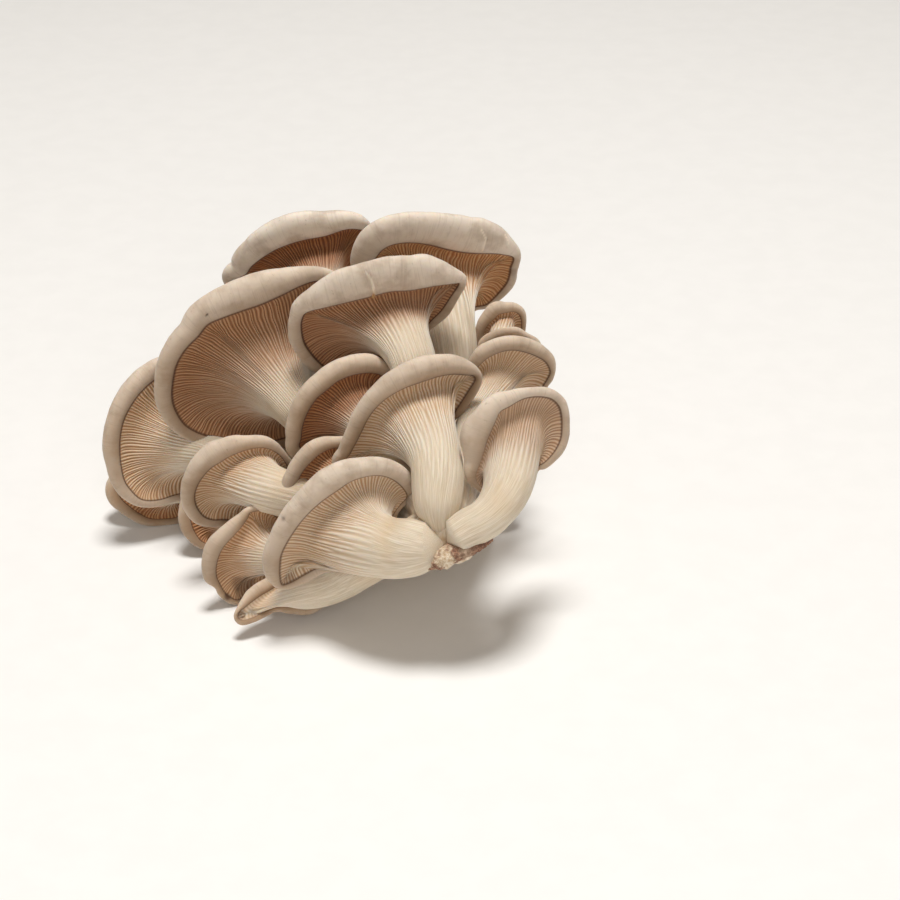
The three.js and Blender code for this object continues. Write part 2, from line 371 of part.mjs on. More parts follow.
function fruitBody(spec, res) {
  const { around: n } = res;
  const axis = V(spec.axis).normalize(), growth = V(spec.growth).normalize();
  let ring = closedCurve(spec.ring, n);
  let R = ring.map(V), w = ring.map((p) => p[3]);

  // outward direction at the rim, in the plane of the gill edge
  const centre = R.reduce((a, b) => a.add(b), new THREE.Vector3()).multiplyScalar(1 / n);
  let O = R.map((_, i) => new THREE.Vector3().subVectors(R[(i + 1) % n], R[(i + n - 1) % n]).normalize().cross(axis));
  const side = O.reduce((s, o, i) => s + o.dot(new THREE.Vector3().subVectors(R[i], centre)), 0);
  if (side < 0) O.forEach((o) => o.negate());
  for (let pass = 0; pass < 1; pass++) {
    O = O.map((o, i) => o.clone().multiplyScalar(2).add(O[(i + 1) % n]).add(O[(i + n - 1) % n]));
  }
  O.forEach((o) => o.addScaledVector(axis, -o.dot(axis)).normalize());

  // stem centre line, base first
  const path = stemCurve([...spec.stem].reverse(), res.stem + 1, growth);
  const throat = V(path[res.stem]);
  const e1 = new THREE.Vector3().crossVectors(growth, new THREE.Vector3(0.13, 0.31, 0.94)).normalize();
  const e2 = new THREE.Vector3().crossVectors(growth, e1);

  // angle of every rim point around the throat, kept rising
  const angle = () => {
    const a = R.map((p) => {
      const q = p.clone().sub(throat);
      return Math.atan2(q.dot(e2), q.dot(e1));
    });
    for (let i = 1; i < n; i++) {
      while (a[i] - a[i - 1] > Math.PI) a[i] -= 2 * Math.PI;
      while (a[i] - a[i - 1] < -Math.PI) a[i] += 2 * Math.PI;
    }
    return a;
  };
  let phi = angle();
  if (phi[n - 1] < phi[0]) {
    R.reverse(); w.reverse(); O.reverse();
    phi = angle();
  }
  const turn = 2 * Math.PI;
  let steps = phi.map((a, i) => Math.max((i + 1 < n ? phi[i + 1] : phi[0] + turn) - a, 0.25 * turn / n));
  const sum = steps.reduce((a, b) => a + b, 0);
  steps = steps.map((s) => s * turn / sum);
  for (let i = 1; i < n; i++) phi[i] = phi[i - 1] + steps[i - 1];

  // frames carried down the stem
  const frames = [];
  let carried = e1.clone();
  for (let i = res.stem; i >= 0; i--) {
    const t = i === res.stem ? growth.clone()
      : V(path[i + 1]).sub(V(path[Math.max(i - 1, 0)])).normalize();
    carried = carried.addScaledVector(t, -carried.dot(t)).normalize().clone();
    frames[i] = { e1: carried.clone(), e2: new THREE.Vector3().crossVectors(t, carried), t };
  }

  const rows = [];
  for (let i = 0; i <= res.stem; i++) {
    const f = i / res.stem, c = V(path[i]), r = path[i][3];
    rows.push(R.map((_, j) => {
      const a = phi[j] * f + (phi[0] + turn * j / n) * (1 - f);
      return c.clone().addScaledVector(frames[i].e1, r * Math.cos(a)).addScaledVector(frames[i].e2, r * Math.sin(a));
    }));
  }

  // gill funnel: from the stem out to the gill edge
  const dip = GILL_EDGE_ANGLE * Math.PI / 180, B0 = rows[res.stem];
  const bezier = (p, v) => new THREE.Vector3()
    .addScaledVector(p[0], (1 - v) ** 3).addScaledVector(p[1], 3 * (1 - v) ** 2 * v)
    .addScaledVector(p[2], 3 * (1 - v) * v * v).addScaledVector(p[3], v ** 3);
  for (let i = 1; i <= res.gills; i++) {
    rows.push(R.map((r, j) => {
      const reach = r.distanceTo(B0[j]);
      const radial = e1.clone().multiplyScalar(Math.cos(phi[j])).addScaledVector(e2, Math.sin(phi[j]));
      const B1 = B0[j].clone().addScaledVector(growth, THROAT_REACH * reach).addScaledVector(radial, 0.04 * reach);
      const B2 = r.clone().addScaledVector(O[j], -RIM_REACH * reach * Math.cos(dip)).addScaledVector(axis, RIM_REACH * reach * Math.sin(dip));
      return bezier([B0[j], B1, B2, r], i / res.gills);
    }));
  }

  // inrolled rim
  const edge = spec.edgeAngle * Math.PI / 180;
  for (let i = 1; i <= res.rim; i++) {
    rows.push(R.map((r, j) => {
      const b = rimDepth(w[j]);
      const end = Math.atan2(b, RIM_WIDTH_RATIO * w[j] * Math.tan(edge)) + turn;
      const a = RIM_START + (end - RIM_START) * i / res.rim;
      return r.clone().addScaledVector(O[j], w[j] * (0.5 + RIM_WIDTH_RATIO * Math.cos(a)))
        .addScaledVector(axis, b * (0.416 + Math.sin(a)));
    }));
  }

  // domed top, closing on the apex
  const E = rows[rows.length - 1];
  const foot = E.reduce((a, b) => a.add(b), new THREE.Vector3()).multiplyScalar(1 / n);
  const flat = (v) => v.clone().addScaledVector(axis, -v.dot(axis));
  const mean = E.reduce((s, e) => s + flat(e.clone().sub(foot)).length(), 0) / n;
  const apex = foot.clone().addScaledVector(axis, mean * Math.tan(edge / 2));
  for (let i = 1; i < res.top; i++) {
    rows.push(E.map((e, j) => {
      const inward = flat(foot.clone().sub(e)), rr = inward.length();
      inward.normalize();
      const dir = flat(inward.clone().multiplyScalar(0.65).addScaledVector(O[j], -0.35)).normalize()
        .multiplyScalar(Math.cos(edge)).addScaledVector(axis, Math.sin(edge));
      return bezier([e, e.clone().addScaledVector(dir, 0.36 * rr), apex.clone().addScaledVector(inward, -0.4 * rr), apex], i / res.top);
    }));
  }
  const root = V(path[0]).addScaledVector(frames[0].t, -0.55 * path[0][3]);
  return closeRows(rows, root, apex);
}

// A closed skin over rows of equal length, with a pole at each end.
function closeRows(rows, first, last) {
  const n = rows[0].length, points = [first, ...rows.flat(), last], faces = [];
  const at = (i, j) => 1 + i * n + (j % n);
  for (let j = 0; j < n; j++) faces.push([0, at(0, j + 1), at(0, j)]);
  for (let i = 0; i + 1 < rows.length; i++) {
    for (let j = 0; j < n; j++) {
      faces.push([at(i, j), at(i, j + 1), at(i + 1, j + 1)], [at(i, j), at(i + 1, j + 1), at(i + 1, j)]);
    }
  }
  for (let j = 0; j < n; j++) faces.push([at(rows.length - 1, j), at(rows.length - 1, j + 1), points.length - 1]);
  let volume = 0;
  for (const [a, b, c] of faces) volume += points[a].dot(new THREE.Vector3().crossVectors(points[b], points[c]));
  if (volume < 0) faces.forEach((f) => f.reverse());
  const geometry = new THREE.BufferGeometry();
  geometry.setAttribute('position', new THREE.Float32BufferAttribute(points.flatMap((p) => p.toArray()), 3));
  geometry.setIndex(faces.flat());
  return geometry;
}

// An uneven rounded lump.
function lump({ centre, radii }, around = 16, rings = 8) {
  const rows = [];
  const bump = (a, b) => 1 + 0.09 * Math.sin(2 * a + 1) * Math.sin(b) + 0.06 * Math.sin(5 * a + 3 * b);
  for (let i = 1; i < rings; i++) {
    const b = Math.PI * i / rings - Math.PI / 2, row = [];
    for (let j = 0; j < around; j++) {
      const a = 2 * Math.PI * j / around, k = bump(a, b + Math.PI / 2);
      row.push(new THREE.Vector3(centre[0] + k * radii[0] * Math.cos(b) * Math.cos(a),
        centre[1] + k * radii[1] * Math.cos(b) * Math.sin(a), centre[2] + k * radii[2] * Math.sin(b)));
    }
    rows.push(row);
  }
  return closeRows(rows, new THREE.Vector3(centre[0], centre[1], centre[2] - radii[2]),
    new THREE.Vector3(centre[0], centre[1], centre[2] + radii[2]));
}

// A flattened strip along a line of [x, y, z, radius].
function crust(line, around = 12) {
  const rows = line.map(([x, y, z, r], i) => {
    const a = line[Math.max(i - 1, 0)], b = line[Math.min(i + 1, line.length - 1)];
    const t = new THREE.Vector3(b[0] - a[0], b[1] - a[1], b[2] - a[2]).normalize();
    const s = new THREE.Vector3().crossVectors(t, new THREE.Vector3(0, 0, 1)).normalize();
    const u = new THREE.Vector3().crossVectors(s, t);
    return Array.from({ length: around }, (_, j) => {
      const q = 2 * Math.PI * j / around, k = r * (1 + 0.16 * Math.sin(3 * q + 2.1 * i));
      return new THREE.Vector3(x, y, z).addScaledVector(s, 1.5 * k * Math.cos(q)).addScaledVector(u, k * Math.sin(q));
    });
  });
  const end = (i, j) => V(line[i]).addScaledVector(V(line[i]).sub(V(line[j])).normalize(), 0.6 * line[i][3]);
  return closeRows(rows, end(0, 1), end(line.length - 1, line.length - 2));
}

// ---------------------------------------------------------------- solids
const wasm = await Module();
wasm.setup();

function toManifold(geometry) {
  const g = geometry.clone();
  g.deleteAttribute('normal');
  g.deleteAttribute('uv');
  const merged = mergeVertices(g, 1e-4);
  return new wasm.Manifold(new wasm.Mesh({
    numProp: 3,
    vertProperties: new Float32Array(merged.attributes.position.array),
    triVerts: new Uint32Array(merged.index.array),
  }));
}

function toGeometry(solid) {
  const mesh = solid.getMesh();
  const g = new THREE.BufferGeometry();
  g.setAttribute('position', new THREE.BufferAttribute(new Float32Array(mesh.vertProperties), 3));
  g.setIndex(new THREE.BufferAttribute(new Uint32Array(mesh.triVerts), 1));
  return g;
}

// The same skin moved out by the clearance.
function grown(geometry, by) {
  const g = geometry.clone();
  g.computeVertexNormals();
  const p = g.attributes.position, q = g.attributes.normal;
  for (let i = 0; i < p.count; i++) {
    p.setXYZ(i, p.getX(i) + by * q.getX(i), p.getY(i) + by * q.getY(i), p.getZ(i) + by * q.getZ(i));
  }
  return g;
}

const largest = (solid) => solid.decompose().reduce((a, b) => (b.volume() > a.volume() ? b : a));

const skins = {};
for (const [name, spec] of Object.entries(FRUIT_BODIES)) {
  skins[name] = fruitBody(spec, SMALL_BODIES.has(name) ? SMALL : LARGE);
}
skins.base_clump = lump(BASE_CLUMP);
skins.substrate_crust = crust(CRUST_LINE);

const FLESH = { color: 0xd8c8b2, roughness: 0.72, metalness: 0 };
const finishes = {
  base_clump: { color: 0xd9cdbd, roughness: 0.85, metalness: 0 },
  substrate_crust: { color: 0x6b4632, roughness: 0.95, metalness: 0 },
};

// Front bodies keep their whole shape; a body behind gives way to those in
// front of it, as neighbours that grew pressed together do.
const group = new THREE.Group();
let taken = null;
for (const [name, skin] of Object.entries(skins)) {
  let solid = toManifold(skin);
  if (taken) solid = largest(solid.subtract(taken));
  const keepOut = toManifold(grown(skin, GAP));
  taken = taken ? taken.add(keepOut) : keepOut;
  const mesh = new THREE.Mesh(toGeometry(solid.simplify(SMOOTHING).translate(ORIGIN)), new THREE.MeshStandardMaterial(finishes[name] ?? FLESH));
  mesh.name = name;
  group.add(mesh);
}

export default group;
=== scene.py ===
import math

import bpy
import numpy as np
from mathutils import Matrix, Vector


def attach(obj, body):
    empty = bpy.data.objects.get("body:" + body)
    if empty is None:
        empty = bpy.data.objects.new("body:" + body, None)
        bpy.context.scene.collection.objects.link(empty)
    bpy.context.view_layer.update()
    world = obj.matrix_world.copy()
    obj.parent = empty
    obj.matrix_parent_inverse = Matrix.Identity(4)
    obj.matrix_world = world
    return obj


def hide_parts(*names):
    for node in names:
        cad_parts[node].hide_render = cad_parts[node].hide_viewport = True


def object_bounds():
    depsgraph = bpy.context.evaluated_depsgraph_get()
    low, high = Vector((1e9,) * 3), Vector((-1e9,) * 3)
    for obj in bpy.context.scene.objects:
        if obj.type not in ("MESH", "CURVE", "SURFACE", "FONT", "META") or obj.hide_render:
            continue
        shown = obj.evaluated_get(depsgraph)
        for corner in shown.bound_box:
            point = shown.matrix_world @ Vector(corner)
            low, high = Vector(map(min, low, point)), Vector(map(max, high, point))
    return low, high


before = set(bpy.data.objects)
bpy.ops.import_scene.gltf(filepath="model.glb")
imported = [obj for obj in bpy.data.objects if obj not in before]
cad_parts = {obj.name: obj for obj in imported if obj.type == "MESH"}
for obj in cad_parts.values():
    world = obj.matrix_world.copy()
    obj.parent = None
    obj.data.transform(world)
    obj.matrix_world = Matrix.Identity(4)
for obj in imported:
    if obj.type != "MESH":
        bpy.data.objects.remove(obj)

CAD_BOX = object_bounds()

# ------------------------------------------------------------------ shapes
# The same centre lines and gill edges that the CAD solids are made from, in
# millimetres in the row frame. ring: gill edge as (x, y, z, rim width). stem:
# throat to base as (x, y, z, radius).
BODIES = {
    "mushroom_lower_front": dict(
        axis=(-0.250, 0.968, 0.018), growth=(-0.919, 0.391, -0.041), edge=42,
        ring=[
            (-16, -64.5, 25.6, 2), (-16.8, -64.8, 30, 5.1), (-16.6, -64.9, 34.6, 6.2), (-15.9, -64.8, 39.5, 6.6), (-13.8, -64.3, 44.3, 7),
            (-10.6, -63.6, 49.7, 7.7), (-7, -62.8, 54.6, 8.1), (-3.2, -61.8, 58.5, 8.5), (1.5, -60.7, 62.3, 9.4), (6.5, -59.5, 65.5, 10.2),
            (11, -58.3, 68.4, 8.9), (15.6, -57.2, 69.7, 7.8), (20.1, -56, 69.9, 7), (24.3, -54.9, 68.8, 6.5), (28, -53.9, 66.2, 6.1),
            (31.1, -53.1, 62.3, 5.4), (32.5, -52.6, 58.3, 3.6), (29.8, -53.3, 55, 2), (27.1, -53.9, 50.9, 2), (24.7, -54.4, 43.5, 2),
            (18.8, -55.7, 35.1, 3.8), (9.5, -58.1, 32.5, 4.6), (0.6, -60.4, 32.1, 3.7), (-6.7, -62.2, 29.2, 3.7), (-12.2, -63.6, 26.4, 2.8),
        ],
        stem=[
            (23.9, -69.4, 45.7, 11.8), (27.4, -70.9, 45.9, 11.9), (30.1, -72.1, 47, 11.9), (36.2, -74.3, 49.3, 11), (41.9, -75.6, 51, 9),
        ],
    ),
    "mushroom_centre_front": dict(
        axis=(-0.329, 0.940, 0.091), growth=(-0.250, 0.941, 0.230), edge=42,
        ring=[
            (8.5, -35.7, 63.5, 5.2), (10.2, -35.5, 67.9, 4.9), (12.6, -35.2, 72.7, 5.3), (15, -34.8, 77.8, 5.7), (17, -34.5, 82.1, 6.1),
            (19.4, -34, 85.8, 6.5), (22.5, -33.3, 89.1, 6.9), (26.4, -32.2, 91.8, 7.7), (31, -30.8, 93.9, 8.5), (35.6, -29.3, 95.1, 9.4),
            (40.2, -27.7, 96, 9.4), (45.2, -26.1, 96.9, 8.5), (50.3, -24.3, 96.8, 7.3), (54.5, -22.7, 95.7, 5.7), (58, -21.3, 94.5, 3.3),
            (59, -20.8, 92.3, 2.9), (56.9, -21.2, 88.5, 3.7), (54.2, -21.7, 83.9, 3.7), (51.1, -22.3, 78.8, 3.2), (48.9, -22.6, 74.5, 2),
            (47.1, -22.4, 66.3, 3.8), (45.1, -22.2, 57, 5.5), (38.8, -23.9, 51.6, 5.5), (28.5, -27.4, 49.9, 5.5), (16, -32.2, 54.6, 5.5),
        ],
        stem=[
            (43.8, -52.3, 75.4, 10), (45.3, -58, 74, 10), (44.2, -61.5, 69.4, 10), (44, -65.8, 64, 9.4), (44.5, -67.6, 58.9, 7.2),
            (45.3, -67.8, 54.6, 5),
        ],
    ),
    "mushroom_right_front": dict(
        axis=(-0.500, 0.850, -0.167), growth=(0.220, 0.804, 0.552), edge=42,
        ring=[
            (82.7, -44.6, 67, 2), (85.4, -42.9, 67.7, 2.7), (88.2, -40.9, 69.7, 3.3), (90.5, -39, 72.2, 3.8), (92.1, -37.4, 75.7, 3.7),
            (92.4, -36.4, 80, 3.5), (92.1, -35.6, 84.9, 3.4), (91, -35.4, 88.8, 3.5), (88.2, -36.4, 92.4, 3.3), (84.3, -38.3, 94.5, 3.6),
            (79.6, -40.8, 95.7, 3.6), (75.7, -43.1, 95.6, 4.4), (71.9, -45.6, 94.4, 5.9), (68, -48.1, 93.2, 7.4), (66.2, -49.9, 89.8, 9.4),
            (64.6, -51.4, 86.3, 11.1), (63.1, -53, 82.9, 10.7), (62, -54.4, 79.3, 8.9), (60.5, -56.1, 75, 6.3), (59, -57.8, 71.1, 4.4),
            (60, -57.9, 67.3, 2.2), (62.9, -56.8, 64.4, 2), (67.9, -54.3, 62, 2), (73.7, -51, 61.3, 2), (79.6, -47.1, 63.5, 2),
        ],
        stem=[
            (71.9, -58.2, 69.2, 10.2), (71.1, -61.1, 67.2, 9.7), (70.3, -63.8, 66.4, 9.2), (67.2, -69.7, 63.3, 8.3), (61.9, -73.4, 60.7, 7.6),
            (56.2, -75.1, 57.8, 7.7), (51.4, -76.6, 55.2, 7.3),
        ],
    ),
    "mushroom_bottom": dict(
        axis=(-0.331, 0.791, -0.515), growth=(-0.952, 0.145, -0.269), edge=36,
        ring=[
            (-3.3, -44.4, 20.4, 5.5), (-8.7, -46.6, 20.4, 5.5), (-14.5, -49.8, 19.2, 5.2), (-20.6, -53.9, 16.9, 4.8), (-24.8, -56.5, 15.6, 4.8),
            (-27.8, -58.5, 14.4, 4.4), (-30.5, -60.5, 13.1, 3.3), (-32.6, -62.2, 11.9, 2.2), (-33.5, -63.6, 10.2, 2), (-32, -63.9, 8.8, 2),
            (-28.6, -62.4, 8.9, 2), (-24.4, -60.1, 9.8, 2), (-19.4, -57.4, 10.8, 2), (-13.3, -55.1, 10.4, 3.8), (-7.1, -52.4, 10.5, 5.5),
            (-2.5, -48.9, 12.9, 5.5), (-0.1, -45.4, 16.8, 5.5),
        ],
        stem=[
            (-11.2, -54.1, 16.2, 8), (-6.3, -54.9, 17.5, 8.6), (-2, -54.3, 17.9, 9.2), (8.2, -51.9, 22, 9), (20.3, -57.6, 32.2, 7.6),
            (35.8, -70.4, 44.1, 6.5),
        ],
    ),
    "mushroom_small_centre": dict(
        axis=(-0.380, 0.925, 0.021), growth=(-0.659, 0.747, -0.085), edge=40,
        ring=[
            (-14.3, -35.9, 46.8, 5.4), (-12.3, -35.2, 50.9, 5.4), (-10.6, -34.6, 55.1, 5.8), (-8.5, -33.8, 58.8, 6.2), (-5.8, -32.7, 61.8, 6.6),
            (-2.6, -31.5, 64.5, 6.6), (0.5, -30.3, 66, 5.8), (4, -28.8, 66.3, 4.5), (8.9, -26.7, 64.2, 5), (14.3, -24.4, 58.3, 5.5),
            (17.2, -23, 48.2, 5.5), (13.9, -24.2, 39.6, 5.5), (5.1, -27.7, 35.7, 5.5), (-7.3, -32.8, 38.9, 5.5),
        ],
        stem=[
            (9.4, -42.3, 56.6, 6.5), (13.4, -46.9, 57.1, 6.5), (18.6, -41.3, 50.5, 6.5), (29.5, -39.6, 45.3, 6.5), (41.4, -59.7, 50.5, 6.5),
        ],
    ),
    "mushroom_middle": dict(
        axis=(-0.351, 0.936, 0.016), growth=(-0.561, 0.819, 0.117), edge=40,
        ring=[
            (-10.7, -16.4, 59.2, 4.9), (-10.2, -16.3, 63.7, 5.7), (-9.6, -16.1, 68.2, 6.1), (-8.3, -15.7, 72.5, 6.5), (-6.3, -15, 76.6, 7),
            (-3.4, -14, 80.6, 7.4), (0.1, -12.7, 83.2, 7.8), (4.1, -11.3, 86.1, 7.8), (8.4, -9.7, 87.7, 7.8), (12.7, -8.1, 88.2, 7.7),
            (17.4, -6.3, 87.7, 7.2), (21.3, -4.8, 86, 5.6), (24.4, -3.6, 82.2, 5.6), (26.6, -2.6, 72.5, 5.5), (24.5, -3.2, 60.9, 5.5),
            (17.6, -5.7, 53.9, 5.5), (6.8, -9.7, 50.6, 5.5), (-4.6, -14, 53.2, 5.2),
        ],
        stem=[
            (18.3, -19.9, 69.4, 7.5), (22.5, -26.1, 68.5, 7.5), (26.2, -26.3, 60.3, 7.5), (34.2, -38.7, 54.9, 7.5), (42.2, -59.5, 54.8, 7),
        ],
    ),
    "mushroom_lower_left": dict(
        axis=(-0.398, 0.916, -0.046), growth=(-0.599, 0.717, -0.356), edge=38,
        ring=[
            (-29.2, -35.5, 41, 2.3), (-31.2, -36.5, 38.3, 3.9), (-33.2, -37.5, 35.7, 5), (-36, -38.9, 32.8, 5.8), (-38.8, -40.2, 30.2, 6.2),
            (-41.2, -41.4, 27.4, 6.6), (-42.9, -42.4, 23.8, 6.1), (-43.9, -43, 19.5, 5.3), (-43.9, -43.2, 15.3, 4.5), (-42.7, -42.9, 11.3, 2.3),
            (-41.3, -42.5, 7.7, 2.3), (-39.1, -41.7, 4.7, 2.3), (-36.1, -40.5, 2.5, 2), (-29.1, -37.3, 4.3, 3.8), (-19.6, -33.1, 6.3, 5.5),
            (-11.5, -29.2, 13.4, 5.5), (-15, -30, 28.2, 5.5), (-22.4, -32.7, 38.8, 3.9),
        ],
        stem=[
            (-17.5, -46.9, 26.7, 6.5), (-14.4, -50.7, 28.6, 6.5), (-8.2, -44.8, 26.3, 6.5), (9.8, -47.5, 31.7, 6.5), (29.9, -61.1, 44.1, 6.5),
            (39.2, -71.3, 50.5, 6),
        ],
    ),
    "mushroom_left_front": dict(
        axis=(-0.321, 0.946, 0.033), growth=(-0.790, 0.610, -0.063), edge=40,
        ring=[
            (-26, -15.1, 58.6, 4.6), (-30.6, -16.7, 58.9, 5.5), (-34.6, -18, 58.2, 7.1), (-38.5, -19.3, 57.1, 7.9), (-41.7, -20.3, 55.4, 9.1),
            (-45.6, -21.6, 53.4, 8.2), (-48.5, -22.4, 50.7, 7.4), (-51.4, -23.3, 46.6, 6.2), (-53.1, -23.7, 41.7, 5.3), (-52.8, -23.4, 36.3, 4.9),
            (-50.4, -22.4, 31, 4.3), (-47, -21.1, 28.3, 3.4), (-43.1, -19.8, 27.5, 3.2), (-36.1, -17.4, 26, 4.3), (-25.8, -13.9, 26.2, 5.5),
            (-16.8, -11, 33.1, 5.5), (-15.6, -11, 43.5, 3.9), (-18, -12.1, 51.6, 2.3), (-21.8, -13.6, 56.4, 3.4),
        ],
        stem=[
            (-19.7, -32, 48.5, 9.5), (-14.5, -36, 49, 9.2), (-8.4, -30.6, 44.9, 9), (9.5, -32.8, 41.2, 8), (27.4, -40.5, 39.9, 7.5),
            (41.4, -61.5, 47.5, 7),
        ],
    ),
    "mushroom_upper_middle": dict(
        axis=(-0.150, 0.955, 0.256), growth=(-0.404, 0.830, 0.385), edge=42,
        ring=[
            (52.7, 10.9, 118.4, 3.2), (49.1, 12.1, 111.6, 3.5), (45.5, 13.3, 105.3, 3.7), (41.1, 14, 100, 3.2), (38.2, 15, 94.6, 2.1),
            (35.7, 16.7, 86.9, 3.8), (29.5, 18.4, 76.8, 5.5), (19.6, 18.3, 71.3, 5.5), (8.2, 16.4, 71.9, 4.8), (0.7, 13.7, 77.4, 4),
            (-4.2, 11.4, 83.3, 5), (-7.9, 9, 90, 5.2), (-9.7, 7.3, 95.4, 5.3), (-10.2, 5.5, 101.6, 4.9), (-9.6, 4.4, 106.2, 4.9),
            (-7.4, 3.8, 109.6, 7), (-0.3, 4.5, 111.2, 11.8), (7.6, 5.3, 112.8, 15.1), (15.9, 6.1, 114.6, 15.5), (25.4, 7, 116.8, 15.5),
            (33.3, 8.3, 116.8, 15.5), (41.2, 9.2, 117.9, 14.5), (47.1, 10, 118.6, 10.2), (51.1, 10.5, 118.9, 5.7),
        ],
        stem=[
            (32.1, -2.8, 97, 9.8), (35.7, -10.3, 93.5, 9.4), (36.4, -13.1, 79.2, 9), (38.7, -16.1, 58.1, 8.5), (40.4, -34.4, 50.4, 8),
            (43, -59, 51.8, 7.5),
        ],
    ),
    "mushroom_large_left": dict(
        axis=(-0.271, 0.962, 0.023), growth=(-0.602, 0.669, 0.436), edge=42,
        ring=[
            (-4, 23.3, 113.8, 5.4), (-11.1, 21.3, 112.5, 8.2), (-19.1, 19.1, 109.1, 11.4), (-27.1, 17, 106.2, 12.8), (-35.1, 14.8, 104.3, 12.3),
            (-42.2, 12.8, 102.4, 11.4), (-47.8, 11.3, 100.3, 10), (-51.9, 10.2, 95.6, 8.6), (-55.2, 9.4, 92.5, 8.2), (-58.2, 8.6, 89, 7.8),
            (-61.3, 7.9, 83.3, 7.3), (-63.3, 7.5, 74.8, 6.9), (-63.8, 7.6, 67.9, 6.5), (-62.6, 8, 62, 5.8), (-60.1, 8.9, 56.2, 5.1),
            (-56.8, 9.9, 52.5, 5), (-51.8, 11.4, 49.1, 4.4), (-45.1, 13.3, 46.8, 4.1), (-34.7, 16.3, 43.2, 4.8), (-22.5, 19.8, 42.2, 5.5),
            (-8.4, 23.6, 47.2, 5.5), (2.6, 26.4, 59.9, 5.5), (7.2, 27.2, 80.5, 5.5), (5.6, 26.3, 99.3, 5.5), (1.9, 25, 109.8, 5.5),
        ],
        stem=[
            (-11.7, 4.3, 65.5, 9.5), (-6.3, -1.7, 61.5, 9.2), (0.6, 8.9, 47.4, 9), (17.5, -10, 40.5, 8.5), (31.3, -32.4, 41.8, 7.5),
            (41.4, -56.7, 47.7, 7),
        ],
    ),
    "mushroom_right_back": dict(
        axis=(-0.221, 0.972, 0.077), growth=(0.553, 0.810, 0.195), edge=40,
        ring=[
            (59.8, -6.8, 90.1, 4.2), (62.9, -6.3, 93.5, 5.4), (66.1, -5.7, 95.4, 5.8), (69.6, -5, 96.6, 5.8), (73.6, -4.1, 96.8, 5.6),
            (77.6, -3.2, 95.8, 5.4), (82, -2, 93.7, 4.9), (86.1, -0.8, 90.8, 4.1), (88.2, -0.1, 88, 3.4), (89.3, 0.4, 84.5, 2),
            (88.3, 0.4, 81.4, 2.2), (86.4, 0.3, 77.8, 2), (83.3, 0.1, 71.5, 3.8), (75.3, -1.4, 67.3, 5.5), (66, -3.6, 68.5, 3.8),
            (59.5, -5.4, 72.7, 2), (57.1, -6.4, 78.3, 3.8), (57.4, -6.9, 84.8, 4.9),
        ],
        stem=[
            (59.7, -18.9, 75.2, 6.5), (56.5, -23.7, 74, 6.5), (55.8, -26.3, 68.5, 6.5), (51.8, -41.7, 61.7, 6.5), (49.1, -57.8, 57.8, 7),
            (47.6, -68.4, 55.4, 6.5),
        ],
    ),
    "mushroom_far_left": dict(
        axis=(-0.401, 0.888, -0.224), growth=(-0.939, 0.340, -0.057), edge=40,
        ring=[
            (-67, 24.8, 71.5, 6.5), (-73, 21.5, 69.1, 7.4), (-78.2, 18.2, 65.3, 7.4), (-82.3, 15.1, 60.4, 7.1), (-85.2, 12.4, 54.9, 6.7),
            (-86.6, 10.3, 49, 6.6), (-87, 8.8, 43.7, 6.6), (-86.9, 7.5, 38.3, 5.8), (-85.8, 6.1, 30.9, 5.1), (-83.2, 6, 25.7, 4.3),
            (-79.8, 6.4, 21.5, 3.2), (-75.9, 7.7, 19.8, 2.9), (-71.2, 9.8, 19.3, 3), (-66, 12.3, 19.9, 3.1), (-59.2, 15.4, 20, 4.3),
            (-48.7, 20.5, 21.4, 5.5), (-42, 25.5, 29.2, 5.5), (-42.8, 28.3, 42.1, 5.5), (-50.1, 28.6, 56.3, 5.5), (-58.5, 27.6, 67.3, 5.5),
        ],
        stem=[
            (-52.3, 12.5, 41.6, 7.5), (-44.1, 9.5, 42.1, 7.2), (-38, 10.9, 34.8, 6.8), (-12.6, 2, 33.4, 6.5), (12.8, -17.5, 35.6, 6.5),
            (35.1, -49.2, 44.8, 6),
        ],
    ),
    "mushroom_top_right": dict(
        axis=(-0.220, 0.946, 0.239), growth=(-0.159, 0.863, 0.479), edge=42,
        ring=[
            (20.5, 44, 116.9, 11.4), (24.6, 44.2, 119.7, 12.9), (29.5, 45.2, 120.4, 13.2), (34.8, 46.6, 119.8, 13.4), (40.9, 48.4, 118, 14.4),
            (47, 50.6, 115.2, 15.5), (53.2, 52.6, 112.9, 15.5), (59.5, 54.4, 111.4, 15.5), (65.7, 56.1, 110.6, 13.2), (70.7, 57.5, 109.6, 8.9),
            (75.6, 59.2, 107.3, 3.5), (74.6, 60.3, 101.9, 3.4), (73.5, 61.8, 95.2, 3.6), (69.8, 62.4, 89.3, 3.6), (64.8, 62.6, 83.8, 2.3),
            (59.7, 61.7, 82.9, 2), (54.2, 61, 80.6, 3.8), (47, 60.8, 74.5, 5.5), (36.4, 58.3, 74.9, 5.5), (26, 53.3, 84.9, 5.5),
            (19.2, 48.3, 98.5, 5.5), (17.4, 45, 110.1, 8.5),
        ],
        stem=[
            (48.3, 29.1, 92.4, 10.8), (49.7, 21.4, 88.1, 10.2), (51.5, 16.5, 74.6, 9.5), (49.9, -5.4, 56.6, 8), (46.7, -37.1, 49.8, 7.5),
            (44.5, -61.6, 51.2, 7),
        ],
    ),
    "mushroom_top_left": dict(
        axis=(-0.152, 0.943, 0.297), growth=(-0.250, 0.956, 0.153), edge=42,
        ring=[
            (-39.8, 66.9, 93.2, 7), (-36.6, 66.3, 96.8, 7.6), (-33.4, 65.4, 101.4, 9.2), (-24.2, 64.7, 108.2, 11.7), (-13.7, 65.2, 112.1, 13.1),
            (-3.2, 66.3, 113.9, 11.3), (5.2, 66.8, 116.7, 8.4), (10.2, 67.6, 116.5, 6.6), (13.9, 68.8, 114.6, 3.6), (15.8, 71.5, 106.9, 4.5),
